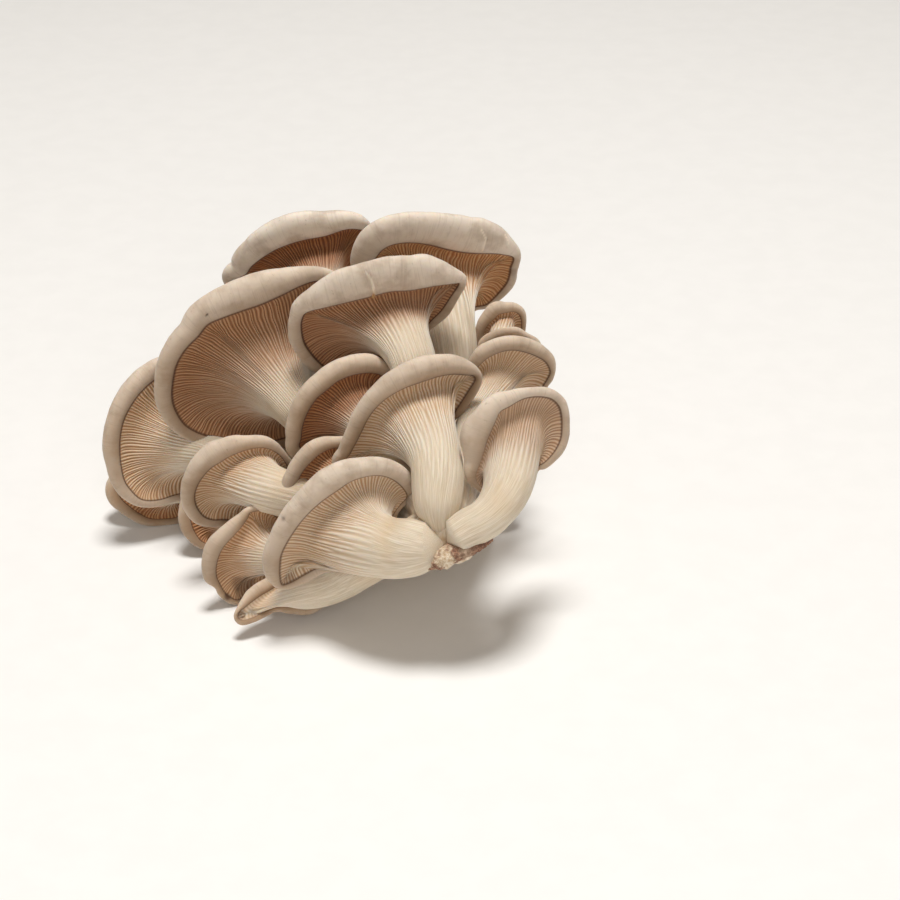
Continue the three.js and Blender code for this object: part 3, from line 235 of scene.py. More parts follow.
            (12.4, 75.1, 94, 5.5), (1.9, 76.6, 83.8, 5.5), (-15.3, 75.1, 79.8, 5.5), (-31.3, 71.7, 82.4, 6.3),
        ],
        stem=[
            (-4, 46.2, 94, 8.5), (-1.8, 37.6, 92.6, 8.2), (5.5, 33.8, 72.4, 8), (17.1, 10.5, 52.2, 7.5), (29.9, -24.1, 44.2, 7),
            (39, -52.2, 47.6, 6.5),
        ],
    ),
    "mushroom_lower_left_back": dict(
        axis=(-0.300, 0.872, -0.388), growth=(-0.732, 0.580, -0.358), edge=38,
        ring=[
            (-58.5, -0.5, 18.5, 4.6), (-58, -2.1, 14.6, 4.6), (-56.6, -3.2, 10.9, 3.9), (-54.2, -4, 7.5, 3.1), (-51, -3.6, 5.8, 2.8),
            (-44.6, -1.7, 5.1, 4.2), (-36.9, 1.9, 7.2, 5.5), (-33.6, 6, 14, 5.5), (-37.5, 8.2, 21.9, 5.5), (-48.4, 6.3, 26, 5.5),
            (-56, 2.7, 23.8, 5.1),
        ],
        stem=[
            (-39, -5.6, 20.2, 5), (-32.4, -10.9, 23.4, 5), (-24.3, -13.1, 23.3, 5), (-1.1, -27, 27.2, 5), (33.6, -54.4, 39.8, 5),
        ],
    ),
    "mushroom_far_left_under": dict(
        axis=(-0.200, 0.782, -0.590), growth=(-0.778, 0.539, -0.323), edge=40,
        ring=[
            (-91, 23.4, 12.2, 4.7), (-86.8, 21.5, 8.4, 4), (-82.6, 20.5, 5.6, 3.8), (-78.4, 20, 3.6, 3.2), (-73.1, 20.9, 2.8, 2.8),
            (-67.3, 22.4, 2.9, 2.8), (-60.6, 25.9, 5.2, 4.2), (-57.8, 31, 11.1, 5.5), (-62.1, 34.9, 17.7, 5.5), (-74.6, 34.3, 21.1, 5.5),
            (-86.2, 30.1, 19.6, 5.5), (-91.1, 26.2, 16, 5.5),
        ],
        stem=[
            (-68.3, 20.1, 16.7, 4.5), (-61.9, 15.6, 19.4, 4.5), (-53.9, 17.1, 19.5, 4.5), (-33.9, 6, 24.3, 4.5), (-3.7, -14, 29.7, 4.5),
            (34.3, -50.7, 42.1, 4.5),
        ],
    ),
    "mushroom_rear_left": dict(
        axis=(-0.121, 0.936, -0.331), growth=(-0.300, 0.922, -0.244), edge=42,
        ring=[
            (-1.7, 32, 24.4, 6.2), (-5.4, 34.6, 33, 6.1), (-13.1, 36.4, 40.9, 6), (-22.1, 36.6, 44.7, 5.9), (-30.5, 34.5, 42, 5.9),
            (-37, 31.2, 34.9, 5.9), (-40.3, 27.9, 26.8, 5.9), (-39.1, 25, 18.4, 6), (-32.9, 23, 10.5, 6.2), (-22.7, 23, 6.5, 6.3),
            (-11.7, 25.3, 9.1, 6.4), (-3.8, 28.8, 16.2, 6.4),
        ],
        stem=[
            (-16.9, 17.8, 32.7, 6.5), (-14.2, 9.5, 34.9, 6.5), (1.9, -0.8, 32.6, 6.5), (29.5, -45, 44, 6),
        ],
    ),
    "mushroom_rear_right": dict(
        axis=(0.140, 0.940, -0.312), growth=(0.121, 0.936, -0.331), edge=42,
        ring=[
            (74.6, 19.8, 24.8, 5.1), (71.6, 22.6, 32.1, 5.1), (66, 25.6, 38.6, 5.1), (58.9, 27.5, 41.1, 5.1), (51.2, 27.5, 37.5, 5.2),
            (44.5, 26, 30.1, 5.2), (41, 23.9, 22.3, 5.4), (42.5, 21.2, 14.8, 5.5), (49.2, 18.1, 8.3, 5.6), (58.9, 15.9, 5.9, 5.5),
            (68.1, 15.7, 9.7, 5.3), (73.7, 17.4, 17.1, 5.2),
        ],
        stem=[
            (57.8, 6.7, 29.6, 6.5), (56.7, -1.7, 32.6, 6.5), (54.7, -19.8, 35.6, 6.5), (49.9, -53.3, 45.6, 6),
        ],
    ),
    "button_right_upper": dict(
        axis=(-0.200, 0.980, 0.013), growth=(0.201, 0.970, 0.135), edge=40,
        ring=[
            (64, 32.5, 81.4, 4.5), (63.1, 32.3, 85.7, 3.5), (64.7, 32.6, 89.3, 4.3), (67.6, 33.1, 92.2, 5.1), (69.2, 33.5, 93.7, 5.2),
            (71.7, 34, 94.1, 4.4), (75, 34.6, 94.4, 3.5), (77.5, 35.2, 92.8, 2.7), (78.6, 35.4, 89.2, 2), (78.2, 35.4, 84.6, 2),
            (76, 35.1, 78.3, 3.8), (69.8, 33.8, 76.6, 5.5),
        ],
        stem=[
            (69.9, 24.1, 87.6, 4.5), (68.4, 16.6, 86.6, 4.5), (70.8, 18.9, 74.7, 4.5), (68.6, 3.7, 64.4, 4.5), (62.6, -17.8, 59.1, 4.5),
            (55.3, -46.4, 57.6, 4.5), (49.9, -65.4, 56.7, 4.5),
        ],
    ),
    "button_right_lower": dict(
        axis=(-0.150, 0.989, 0.008), growth=(0.020, 0.980, 0.197), edge=38,
        ring=[
            (65.3, 17.6, 86.9, 4.7), (68.1, 18, 89.9, 3.9), (71.8, 18.5, 91.4, 3.5), (75.8, 19.1, 91.5, 3.1), (79.5, 19.7, 89.6, 2.3),
            (82.1, 20.1, 86, 3.9), (80.9, 20, 80.1, 5.5), (74.4, 19, 77.4, 5.5), (67.4, 17.9, 80.7, 5.5),
        ],
        stem=[
            (73.7, 12.2, 85.1, 3.5), (73.6, 6.8, 84, 3.5), (74.3, 11.1, 75.2, 3.5), (72.6, 4, 68.9, 3.5), (69.2, -4.1, 62.8, 3.5),
        ],
    ),
}

# Looks that differ between the bodies. warm: how orange the gill layer is, partly the gills' own tone and partly
# painted warm shade in the deep caps.
# dim: how much painted shade darkens the outer gill layer. wave: how crinkled the gills are, mm.
# pale: how much lighter the rolled rim is. deep: how deep the gills are cut.
# edge: how dark the line is where the gills end, painted shade in the crease under the rolled rim.
LOOKS = {
    "mushroom_top_left": dict(warm=0.95, dim=0.72, wave=1, pale=1.7, deep=0.8, edge=0.8),
    "mushroom_top_right": dict(warm=0.85, dim=0, wave=1.1, pale=1.2, deep=0.8, edge=0.8),
    "mushroom_large_left": dict(warm=0.55, dim=0.44, wave=0.8, pale=0.5, deep=0.8, edge=0.8),
    "mushroom_upper_middle": dict(warm=0.55, dim=0.58, wave=0.8, pale=0.95, deep=0.8, edge=0.9),
    "mushroom_far_left": dict(warm=0.3, dim=0, wave=0.6, pale=0.5, deep=0.75, edge=0.8),
    "mushroom_far_left_under": dict(warm=0.75, dim=0.25, wave=0.4, pale=0, deep=0.85, edge=0.8),
    "mushroom_centre_front": dict(warm=0.12, dim=0.06, wave=0.7, pale=0.2, deep=0.62, edge=0.8),
    "mushroom_middle": dict(warm=0.8, dim=0.7, wave=0.7, pale=0.1, deep=0.8, edge=0.8),
    "mushroom_left_front": dict(warm=0.25, dim=0, wave=0.6, pale=0.2, deep=0.75, edge=0.8),
    "mushroom_small_centre": dict(warm=0.8, dim=0.45, wave=0.4, pale=0, deep=0.8, edge=0.8),
    "mushroom_lower_front": dict(warm=0.1, dim=0.1, wave=0.7, pale=0.75, deep=0.62, edge=0.7),
    "mushroom_lower_left": dict(warm=0.5, dim=0.06, wave=0.5, pale=0.05, deep=0.65, edge=0.7),
    "mushroom_bottom": dict(warm=0.1, dim=0, wave=0.3, pale=0, deep=0.12, edge=0.25),
    "mushroom_right_front": dict(warm=0.1, dim=0.36, wave=0.8, pale=0.65, deep=0.55, edge=0.75),
    "mushroom_right_back": dict(warm=0.25, dim=0, wave=0.5, pale=0.15, deep=0.65, edge=0.8),
    "button_right_upper": dict(warm=0.5, dim=0.1, wave=0.2, pale=0, deep=0.75, edge=0.8),
    "button_right_lower": dict(warm=0.3, dim=0, wave=0.2, pale=0, deep=0.5, edge=0.5),
    "mushroom_lower_left_back": dict(warm=0.75, dim=0.4, wave=0.4, pale=0, deep=0.85, edge=0.8),
    "mushroom_rear_left": dict(warm=0.55, dim=0.1, wave=0.4, pale=0, deep=0.85, edge=0.8),
    "mushroom_rear_right": dict(warm=0.55, dim=0.1, wave=0.4, pale=0, deep=0.85, edge=0.8),
}

# Splits in the rolled rims: body, points (mm), half width at both ends (mm).
CRACKS = [
    ("mushroom_upper_middle", [(14.8, 2.8, 130.5), (16.7, 1.3, 127.8), (18.6, 1.5, 124.2), (19.1, 2.7, 120.2), (18.8, 7.4, 114.0)], 0.18, 0.75, 0.6),
    ("mushroom_top_right", [(61.8, 50.3, 124.3), (63.9, 50.9, 120.0), (63.1, 51.4, 116.6), (62.3, 52.9, 113.2)], 0.3, 0.3, 0.2),
    ("mushroom_top_right", [(71.8, 54.8, 119.6), (73.1, 55.1, 117.2), (73.5, 55.0, 114.5)], 0.22, 0.22, 0.12),
]
# Dark marks: body, centre (mm), radius (mm), strength, dent (mm). The small dented ones are spots on the flesh; the
# wide ones with little dent are painted shade in the hollows among the stems and caps.
SPOTS_AND_SHADE = [
    ("mushroom_large_left", (-47.6, 8.9, 105.7), 0.8, 0.9, 0.3),
    ("mushroom_lower_left", (-34.1, -37.4, 8.2), 7.5, 0.6, 0.1),
    ("mushroom_lower_left", (-39.9, -42.3, 5.2), 3.2, 0.75, 0.5),
    ("mushroom_bottom", (-32.8, -62.7, 10.4), 3.4, 0.6, 0.5),
    ("mushroom_bottom", (-28.6, -60.9, 10.0), 3, 0.35, 0.1),
    ("mushroom_lower_front", (-14.4, -65.5, 56.3), 1.5, 0.5, 0.4),
    ("mushroom_lower_front", (-12.9, -63.0, 27.8), 3.6, 0.35, 0),
    ("mushroom_top_right", (75.9, 60.3, 100.1), 3.2, 0.35, 0.3),
    ("mushroom_upper_middle", (51.1, 11.4, 116.8), 3, 0.35, 0.1),
    ("mushroom_centre_front", (58.1, -21.0, 93.7), 2.6, 0.35, 0.1),
    ("mushroom_small_centre", (31.3, -51.9, 51.5), 8, 0.6, 0),
    ("mushroom_left_front", (30.5, -50.1, 49.0), 8, 0.6, 0),
    ("mushroom_middle", (32.9, -54.8, 56.0), 8, 0.6, 0),
    ("mushroom_large_left", (32.0, -47.5, 49.7), 8, 0.6, 0),
    ("button_right_upper", (59.1, -49.2, 57.1), 6, 0.6, 0),
    ("mushroom_right_back", (56.8, -52.2, 60.3), 6, 0.5, 0),
    ("mushroom_rear_right", (60.4, -19.0, 38.8), 7, 0.6, 0),
]

BASE_CLUMP = dict(centre=(45.7, -66.3, 49.1), radii=(15, 12, 12.5))
CRUST_LINE = [(39.6, -78.8, 43.6, 1.4), (44.2, -79.4, 46.5, 2.5), (49.1, -79.8, 49.8, 2.8), (54.7, -79.6, 52.2, 2.4), (60.4, -77.5, 53.8, 2.1), (64.6, -75.8, 54.7, 1.3)]

RIM_WIDTH_RATIO, RIM_DEPTH_RATIO, RIM_START = 0.55, 0.42, math.radians(204.6)
GILL_EDGE_ANGLE, THROAT_REACH, RIM_REACH = math.radians(28), 0.42, 0.42
GILL_PITCH = 1.38    # mm between gills at the rim
PER_GILL = 6         # columns of the mesh per gill at the rim


# ------------------------------------------------------------------ numbers
def unit(v):
    v = np.asarray(v, float)
    return v / np.linalg.norm(v)


def smooth(a, b, x):
    t = np.clip((x - a) / (b - a), 0, 1)
    return t * t * (3 - 2 * t)


def noise(p, size, seed=0):
    """Smooth value noise from -1 to 1 at points p, with features of that size."""
    q = np.asarray(p, float) / size + seed * 17.31
    i = np.floor(q).astype(np.int64)
    f = q - i
    f = f * f * (3 - 2 * f)

    def h(a, b, c):
        n = (a * 73856093) ^ (b * 19349663) ^ (c * 83492791) ^ (seed * 2654435 + 97)
        n = ((n ^ (n >> 13)) * 1274126177) & 0xFFFFFFFF
        n = ((n ^ (n >> 15)) * 2246822519) & 0xFFFFFFFF
        return ((n >> 8) & 0xFFFF) / 32768.0 - 1.0

    x, y, z = i[..., 0], i[..., 1], i[..., 2]
    fx, fy, fz = f[..., 0], f[..., 1], f[..., 2]
    out = 0
    for dx in (0, 1):
        wx = fx if dx else 1 - fx
        for dy in (0, 1):
            wy = fy if dy else 1 - fy
            for dz in (0, 1):
                wz = fz if dz else 1 - fz
                out = out + h(x + dx, y + dy, z + dz) * wx * wy * wz
    return out


def spline(p0, p1, p2, p3, t):
    return 0.5 * ((2 * p1) + (-p0 + p2) * t + (2 * p0 - 5 * p1 + 4 * p2 - p3) * t * t
                  + (-p0 + 3 * p1 - 3 * p2 + p3) * t * t * t)


def resample(pts, n, closed):
    seg = np.linalg.norm(np.diff(pts[:, :3], axis=0), axis=1)
    length = np.concatenate([[0], np.cumsum(seg)])
    s = np.arange(n) / n * length[-1] if closed else np.linspace(0, length[-1], n)
    return np.stack([np.interp(s, length, pts[:, k]) for k in range(pts.shape[1])], 1), length[-1]


def closed_curve(P, n, sub=16):
    k = len(P)
    pts = [spline(P[i - 1], P[i], P[(i + 1) % k], P[(i + 2) % k], s / sub) for i in range(k) for s in range(sub)]
    return resample(np.array(pts + [pts[0]]), n, True)


def stem_curve(P, n, growth, sub=16):
    k = len(P)
    step = np.linalg.norm(P[-1, :3] - P[-2, :3])
    E = np.vstack([2 * P[0] - P[1], P, np.append(P[-2, :3] + 2 * step * growth, P[-1, 3])])
    pts = [spline(E[i], E[i + 1], E[i + 2], E[i + 3], s / sub) for i in range(k - 1) for s in range(sub)]
    return resample(np.array(pts + [P[-1]]), n, False)


def rim_depth(w):
    return np.minimum(RIM_DEPTH_RATIO * w, 3 + 0.08 * w)


def looped(table, u):
    """Value of a closed table (one turn) at u, in turns."""
    n = len(table)
    x = (u % 1) * n
    i = np.floor(x).astype(int) % n
    f = x - np.floor(x)
    if table.ndim > 1:
        f = f[..., None]
    return table[i] * (1 - f) + table[(i + 1) % n] * f


def along(table, s):
    """Value of an open table at s from 0 to 1."""
    n = len(table) - 1
    x = min(max(s, 0.0), 1.0) * n
    i = min(int(x), n - 1)
    return table[i] * (1 - (x - i)) + table[i + 1] * (x - i)


class Body:
    """The smooth skin of one fruit body, as rows of points from base to apex."""

    def __init__(self, spec, n=256):
        self.axis, self.growth = unit(spec["axis"]), unit(spec["growth"])
        self.edge = math.radians(spec["edge"])
        ring, self.around = closed_curve(np.array(spec["ring"], float), n)
        R, w = ring[:, :3], ring[:, 3]
        T = np.roll(R, -1, 0) - np.roll(R, 1, 0)
        T /= np.linalg.norm(T, axis=1)[:, None]
        O = np.cross(T, self.axis)
        if np.sum((R - R.mean(0)) * O) < 0:
            O = -O
        for _ in range(14):
            O = (np.roll(O, 1, 0) + 2 * O + np.roll(O, -1, 0)) / 4
        O -= np.outer(O @ self.axis, self.axis)
        O /= np.linalg.norm(O, axis=1)[:, None]
        d = self.growth
        m = 60
        self.path, self.stem_length = stem_curve(np.array(spec["stem"], float)[::-1], m + 1, d)
        throat = self.path[-1, :3]
        e1 = unit(np.cross(d, [0.13, 0.31, 0.94]))
        e2 = np.cross(d, e1)
        q = R - throat
        ph = np.unwrap(np.arctan2(q @ e2, q @ e1))
        if ph[-1] < ph[0]:
            R, w, O = R[::-1], w[::-1], O[::-1]
            q = R - throat
            ph = np.unwrap(np.arctan2(q @ e2, q @ e1))
        steps = np.maximum(np.diff(np.append(ph, ph[0] + 2 * math.pi)), 0.25 * 2 * math.pi / n)
        steps *= 2 * math.pi / steps.sum()
        self.ph = ph[0] + np.concatenate([[0], np.cumsum(steps)])
        self.R, self.w, self.O, self.e1, self.e2 = R, w, O, e1, e2
        e = e1.copy()
        fr = [None] * (m + 1)
        for i in range(m, -1, -1):
            t = d if i == m else unit(self.path[i + 1, :3] - self.path[max(i - 1, 0), :3])
            e = unit(e - np.dot(e, t) * t)
            fr[i] = np.concatenate([e, np.cross(t, e), t])
        self.frames = np.array(fr)
        self.foot, self.mean, self.apex = None, None, None
        E = self.rim(np.arange(n) / n, 1.0)
        self.foot = E.mean(0)
        flat = (E - self.foot) - np.outer((E - self.foot) @ self.axis, self.axis)
        self.mean = np.linalg.norm(flat, axis=1).mean()
        self.apex = self.foot + self.axis * self.mean * math.tan(self.edge / 2)
        self.root = self.path[0, :3] - self.frames[0][6:] * self.path[0, 3] * 0.55

    def angle(self, u):
        n = len(self.ph) - 1
        return np.interp(u % 1, np.arange(n + 1) / n, self.ph) + 2 * math.pi * np.floor(u)

    def stem(self, u, s):
        c, f = along(self.path, s), along(self.frames, s)
        a = self.angle(u) * s + (self.ph[0] + 2 * math.pi * u) * (1 - s)
        return c[:3] + c[3] * (np.outer(np.cos(a), unit(f[:3])) + np.outer(np.sin(a), unit(f[3:6])))

    def gill(self, u, v):
        B0 = self.stem(u, 1.0)
        R, O, a = looped(self.R, u), looped(self.O, u), self.angle(u)
        D = np.linalg.norm(R - B0, axis=1)[:, None]
        radial = np.outer(np.cos(a), self.e1) + np.outer(np.sin(a), self.e2)
        te = O * math.cos(GILL_EDGE_ANGLE) - self.axis * math.sin(GILL_EDGE_ANGLE)
        B1 = B0 + self.growth * D * THROAT_REACH + radial * D * 0.04
        B2 = R - te * D * RIM_REACH
        return (1 - v) ** 3 * B0 + 3 * (1 - v) ** 2 * v * B1 + 3 * (1 - v) * v * v * B2 + v ** 3 * R

    def rim(self, u, t):
        R, O, w = looped(self.R, u), looped(self.O, u), looped(self.w, u)
        b = rim_depth(w)
        end = np.arctan2(b, RIM_WIDTH_RATIO * w * math.tan(self.edge)) + 2 * math.pi
        a = RIM_START + (end - RIM_START) * t
        return (R + O * (w * (0.5 + RIM_WIDTH_RATIO * np.cos(a)))[:, None]
                + np.outer(b * (0.416 + np.sin(a)), self.axis))

    def top(self, u, v):
        E, O = self.rim(u, 1.0), looped(self.O, u)
        inward = self.foot - E
        inward -= np.outer(inward @ self.axis, self.axis)
        rr = np.linalg.norm(inward, axis=1)[:, None]
        inward /= rr
        dr = inward * 0.65 - O * 0.35
        dr -= np.outer(dr @ self.axis, self.axis)
        dr /= np.linalg.norm(dr, axis=1)[:, None]
        dr = dr * math.cos(self.edge) + self.axis * math.sin(self.edge)
        T1, T2 = E + dr * rr * 0.36, self.apex - inward * rr * 0.40
        return (1 - v) ** 3 * E + 3 * (1 - v) ** 2 * v * T1 + 3 * (1 - v) * v * v * T2 + v ** 3 * self.apex


# ------------------------------------------------------------------ meshes
def add_mesh(name, verts, tris, quads, uv=None, attributes=None):
    """A mesh object from arrays in mm, with an optional UV per corner."""
    mesh = bpy.data.meshes.new(name)
    verts = np.asarray(verts, np.float32) / 1000.0
    tris = np.asarray(tris, np.int32).reshape(-1, 3)
    quads = np.asarray(quads, np.int32).reshape(-1, 4)
    mesh.vertices.add(len(verts))
    mesh.vertices.foreach_set("co", verts.ravel())
    loops = np.concatenate([tris.ravel(), quads.ravel()])
    mesh.loops.add(len(loops))
    mesh.loops.foreach_set("vertex_index", loops)
    count = len(tris) + len(quads)
    starts = np.concatenate([np.arange(len(tris)) * 3, len(tris) * 3 + np.arange(len(quads)) * 4]).astype(np.int32)
    mesh.polygons.add(count)
    mesh.polygons.foreach_set("loop_start", starts)
    mesh.polygons.foreach_set("use_smooth", np.ones(count, bool))
    mesh.update(calc_edges=True)
    mesh.validate()
    if uv is not None and len(mesh.loops) == len(uv):
        layer = mesh.uv_layers.new(name="OFBake")
        layer.data.foreach_set("uv", np.asarray(uv, np.float32).ravel())
    for key, values in (attributes or {}).items():
        values = np.asarray(values, np.float32)
        kind = "FLOAT_VECTOR" if values.ndim > 1 else "FLOAT"
        att = mesh.attributes.new(key, kind, "POINT")
        att.data.foreach_set("vector" if values.ndim > 1 else "value", values.ravel())
    obj = bpy.data.objects.new(name, mesh)
    bpy.context.scene.collection.objects.link(obj)
    return obj


def polyline_distance(P, line):
    """Distance of points to a polyline, and how far along it (0 to 1)."""
    best, where = np.full(len(P), 1e9), np.zeros(len(P))
    line = np.asarray(line, float)
    for i in range(len(line) - 1):
        a, b = line[i], line[i + 1]
        t = np.clip(((P - a) @ (b - a)) / max(1e-9, (b - a) @ (b - a)), 0, 1)
        dist = np.linalg.norm(P - (a + t[:, None] * (b - a)), axis=1)
        m = dist < best
        best[m] = dist[m]
        where[m] = (i + t[m]) / (len(line) - 1)
    return best, where


def fruit_body(name, spec, look, seed):
    body = Body(spec)
    rng = np.random.RandomState(1000 + seed)
    around = body.around
    N0 = max(10, int(round(around / (4 * GILL_PITCH))))
    G = N0 * 4
    C = G * PER_GILL
    level = np.array([0, 2, 1, 2] * N0)
    jitter = rng.uniform(-1, 1, G) * np.where(level == 0, 0.24, 0.32)
    at = (np.arange(G) + jitter) / G
    sub = np.arange(PER_GILL) / PER_GILL
    nxt = np.append(at[1:], at[0] + 1)
    u0 = (at[:, None] + (nxt - at)[:, None] * sub).ravel()
    ring_r = around / (2 * math.pi)

    # rows
    mean_w = body.w.mean()
    small = np.clip(mean_w / 7.0, 0.45, 1.0)
    reach = np.linalg.norm(body.gill(np.arange(64) / 64, 1.0) - body.stem(np.arange(64) / 64, 1.0), axis=1).mean() * 1.12
    n_stem = max(10, int(body.stem_length / 1.5))
    n_gill = max(16, int(reach / 0.75))
    n_rim = 26
    n_top = max(10, int(body.mean / 1.7))
    plan = [("stem", s) for s in np.linspace(0, 1, n_stem + 1)]
    x = np.arange(1, n_gill + 1) / n_gill
    plan += [("gill", v) for v in 1 - (1 - x) ** 1.2]
    plan += [("rim", t) for t in (np.arange(1, n_rim + 1) / n_rim) ** 1.15]
    plan += [("top", v) for v in np.arange(1, n_top) / n_top]
    P, prof, cols = [], [], []
    L = 0.0
    lengths = []
    for kind, t in plan:
        u = u0
        if kind == "stem":
            env = look["wave"] * 0.8 * smooth(0.2, 0.9, t)
        elif kind == "gill":
            env = look["wave"] * (0.8 + 0.5 * t) * (1 - smooth(0.93, 1.0, t))
        else:
            env = 0
        if kind in ("stem", "gill"):
            z = (t * body.stem_length) if kind == "stem" else body.stem_length + t * reach
            ringp = np.stack([np.cos(2 * math.pi * u0) * ring_r, np.sin(2 * math.pi * u0) * ring_r,
                              np.full(C, z)], 1)
            u = u0 + env * 0.5 * (noise(ringp, 7.0, seed) + 0.5 * noise(ringp, 3.2, seed + 50)) / around
        row = getattr(body, kind)(u, t)
        if P:
            L += np.linalg.norm(row - P[-1], axis=1).mean()
        P.append(row)
        lengths.append(L)
        prof.append({"stem": t, "gill": 1 + t, "rim": 2 + t, "top": 3 + t}[kind])
        cols.append({"stem": 2, "gill": 1, "rim": 2, "top": 4}[kind])
    P = np.array(P)
    prof = np.array(prof)
    # the stem flows into the gills without a crease
    ease = (smooth(0.3, 0.75, prof) * (1 - smooth(1.3, 1.75, prof)))[1:-1, None, None]
    for _ in range(40):
        P[1:-1] += ease * ((P[2:] + P[:-2]) / 2 - P[1:-1]) * 0.5
    rows = len(P)
    # outward normals of the smooth skin
    du = np.roll(P, -1, 1) - np.roll(P, 1, 1)
    dv = np.empty_like(P)
    dv[1:-1] = P[2:] - P[:-2]
    dv[0], dv[-1] = P[1] - P[0], P[-1] - P[-2]
    nrm = np.cross(du, dv)
    nrm /= np.maximum(1e-9, np.linalg.norm(nrm, axis=2))[:, :, None]
    area = np.cross(du[1:-1], dv[1:-1])
    if np.sum((P[1:-1] - body.foot) * area) < 0:
        nrm = -nrm
    # gill blades: every fourth one reaches the stem, the others start further out
    cell = np.arange(C)
    phase = lambda k: np.abs(((cell / (PER_GILL * k) + 0.5) % 1) - 0.5) * 2      # 0 at a crest, 1 in a valley
    wave = lambda k, sharp: (0.5 + 0.5 * np.cos(math.pi * phase(k))) ** sharp
    first = np.repeat(rng.uniform(-0.62, -0.12, N0), 4 * PER_GILL)
    second = np.repeat(rng.uniform(0.08, 0.48, 2 * N0), 2 * PER_GILL)
    blade = rng.uniform(0.62, 1.12, G)[((cell + PER_GILL // 2) // PER_GILL) % G]
    height = np.ones((rows, C))
    for i in range(rows):
        v = prof[i] - 1
        if v > 1.2:
            continue
        a1 = smooth(first, first + 0.22, v)
        a2 = smooth(second, second + 0.16, v)
        height[i] = (1 - a1) * wave(4, 1.3) + a1 * ((1 - a2) * wave(2, 1.3) + a2 * wave(1, 1.25) * blade)
    k = np.interp(prof, [0, 0.25, 0.6, 0.9, 1.05, 1.3, 1.6, 1.85, 1.95, 1.99, 2.0, 2.05],
                  [0.04, 0.05, 0.12, 0.24, 0.36, 0.62, 0.92, 0.95, 0.60, 0.18, 0.08, 0.0]) * small
    span = np.linalg.norm(body.gill(u0, 1.0) - body.stem(u0, 1.0), axis=1)
    span = look["deep"] * (0.45 + 0.55 * smooth(0.25 * body.mean, 0.75 * body.mean, span))
    move = (height - 0.75) * k[:, None] * span
    height = 0.75 + (height - 0.75) * (0.35 + 0.65 * span)
    move[prof > 2.05] = 0
    # gentle unevenness
    flat = P.reshape(-1, 3)
    big = noise(flat, 14.0, seed + 3).reshape(rows, C)
    mid = noise(flat, 5.0, seed + 5).reshape(rows, C)
    fine = noise(flat, 2.1, seed + 7).reshape(rows, C)
    isrim = smooth(2.03, 2.3, prof)
    istop = smooth(2.8, 3.2, prof)
    isstem = 1 - smooth(0.7, 1.1, prof)
    move += (big * (0.55 * isstem + 0.30 * isrim + 0.35 * istop)[:, None]
             + mid * (0.22 * isstem + 0.16 * isrim + 0.10 * istop)[:, None]
             + fine * (0.05 * isstem + 0.045 * isrim + 0.03 * istop)[:, None]) * small
    # grooves along the stem
    ringp = np.stack([np.cos(2 * math.pi * u0) * 6, np.sin(2 * math.pi * u0) * 6, 0 * u0], 1)
    groove = np.array([noise(ringp + [0, 0, p * 3.0], 1.6, seed + 11) for p in prof])
    move += groove * (0.13 * isstem * small)[:, None]
    # short wrinkles across the rolled rim
    ringp = np.stack([np.cos(2 * math.pi * u0) * ring_r, np.sin(2 * math.pi * u0) * ring_r, 0 * u0], 1)
    wr = np.array([noise(ringp + [0, 0, p * 2.5], 1.9, seed + 13) for p in prof])
    move += wr * (0.07 * isrim * (1 - istop))[:, None]
    # splits
    crack = np.zeros((rows, C))
    for who, line, w0, w1, depth in CRACKS:
        if who != name:
            continue
        sel = (prof > 1.9) & (prof < 3.5)
        dist, where = polyline_distance(P[sel].reshape(-1, 3), line)
        half = w0 + (w1 - w0) * where
        c = (1 - smooth(half * 0.7, half * 1.15 + 0.12, dist)).reshape(-1, C)
        crack[sel] = np.maximum(crack[sel], c)
        move[sel] -= c * depth
    # dark marks: real spots, and painted shade in the hollows among the stems and caps
    spot_and_shade = np.zeros((rows, C))
    for who, centre, r, strength, dent in SPOTS_AND_SHADE:
        if who != name:
            continue
        dist = np.linalg.norm(P - np.array(centre), axis=2)
        dist = dist * (1 + 0.30 * mid + 0.22 * fine)
        spot_and_shade = np.maximum(spot_and_shade, strength * (1 - smooth(0.25 * r, r, dist)))
        move -= (1 - smooth(0.35 * r, r, dist)) * dent
    Q = P + nrm * move[:, :, None]
    root_p, apex_p = body.root, body.apex

    # faces: rows of 1, 1/2 or 1/4 of the columns
    verts, ids, uvs, A = [root_p], [], [], [[0.0, 0.8, 0.0]]
    ring_at = [[0, 0, -1.0]]
    vcoord = np.array(lengths) / lengths[-1] * 0.98 + 0.01
    base = 1
    for i in range(rows):
        step = cols[i]
        sel = np.arange(0, C, step)
        ids.append(base + np.arange(len(sel)))
        verts.append(Q[i, sel])
        A.append(np.stack([np.full(len(sel), prof[i]), height[i, sel], crack[i, sel]], 1))
        uu = u0[sel]
        ring_at.append(np.stack([np.cos(2 * math.pi * uu) * ring_r, np.sin(2 * math.pi * uu) * ring_r,
                                 np.full(len(sel), lengths[i])], 1))
        base += len(sel)
    verts.append(apex_p)
    A.append([[4.0, 0.8, 0.0]])
    ring_at.append([[0, 0, lengths[-1]]])
    # painted shade on the rim: darkest on the lower flanks of each cap, palest at its crown, as the light falls from
    # above
    painted_flank_shade = 1 - smooth(-0.15, 0.85, looped(body.O, u0) @ np.array([0.0, 0.5, 0.866]))
    painted_flank_shades = np.concatenate([[0.0]] + [painted_flank_shade[::cols[i]] for i in range(rows)] + [[0.0]])
    spots_and_shade = np.concatenate([[0.0]] + [spot_and_shade[i, ::cols[i]] for i in range(rows)] + [[0.0]])
    verts = np.vstack([np.atleast_2d(v) for v in verts])
    A = np.vstack([np.atleast_2d(v) for v in A])
    ring_at = np.vstack([np.atleast_2d(v) for v in ring_at])
    tris, quads, tuv, quv = [], [], [], []

    def uvrow(i):
        uu = u0[::cols[i]] - u0[0]
        return np.append(uu, 1.0), vcoord[i]

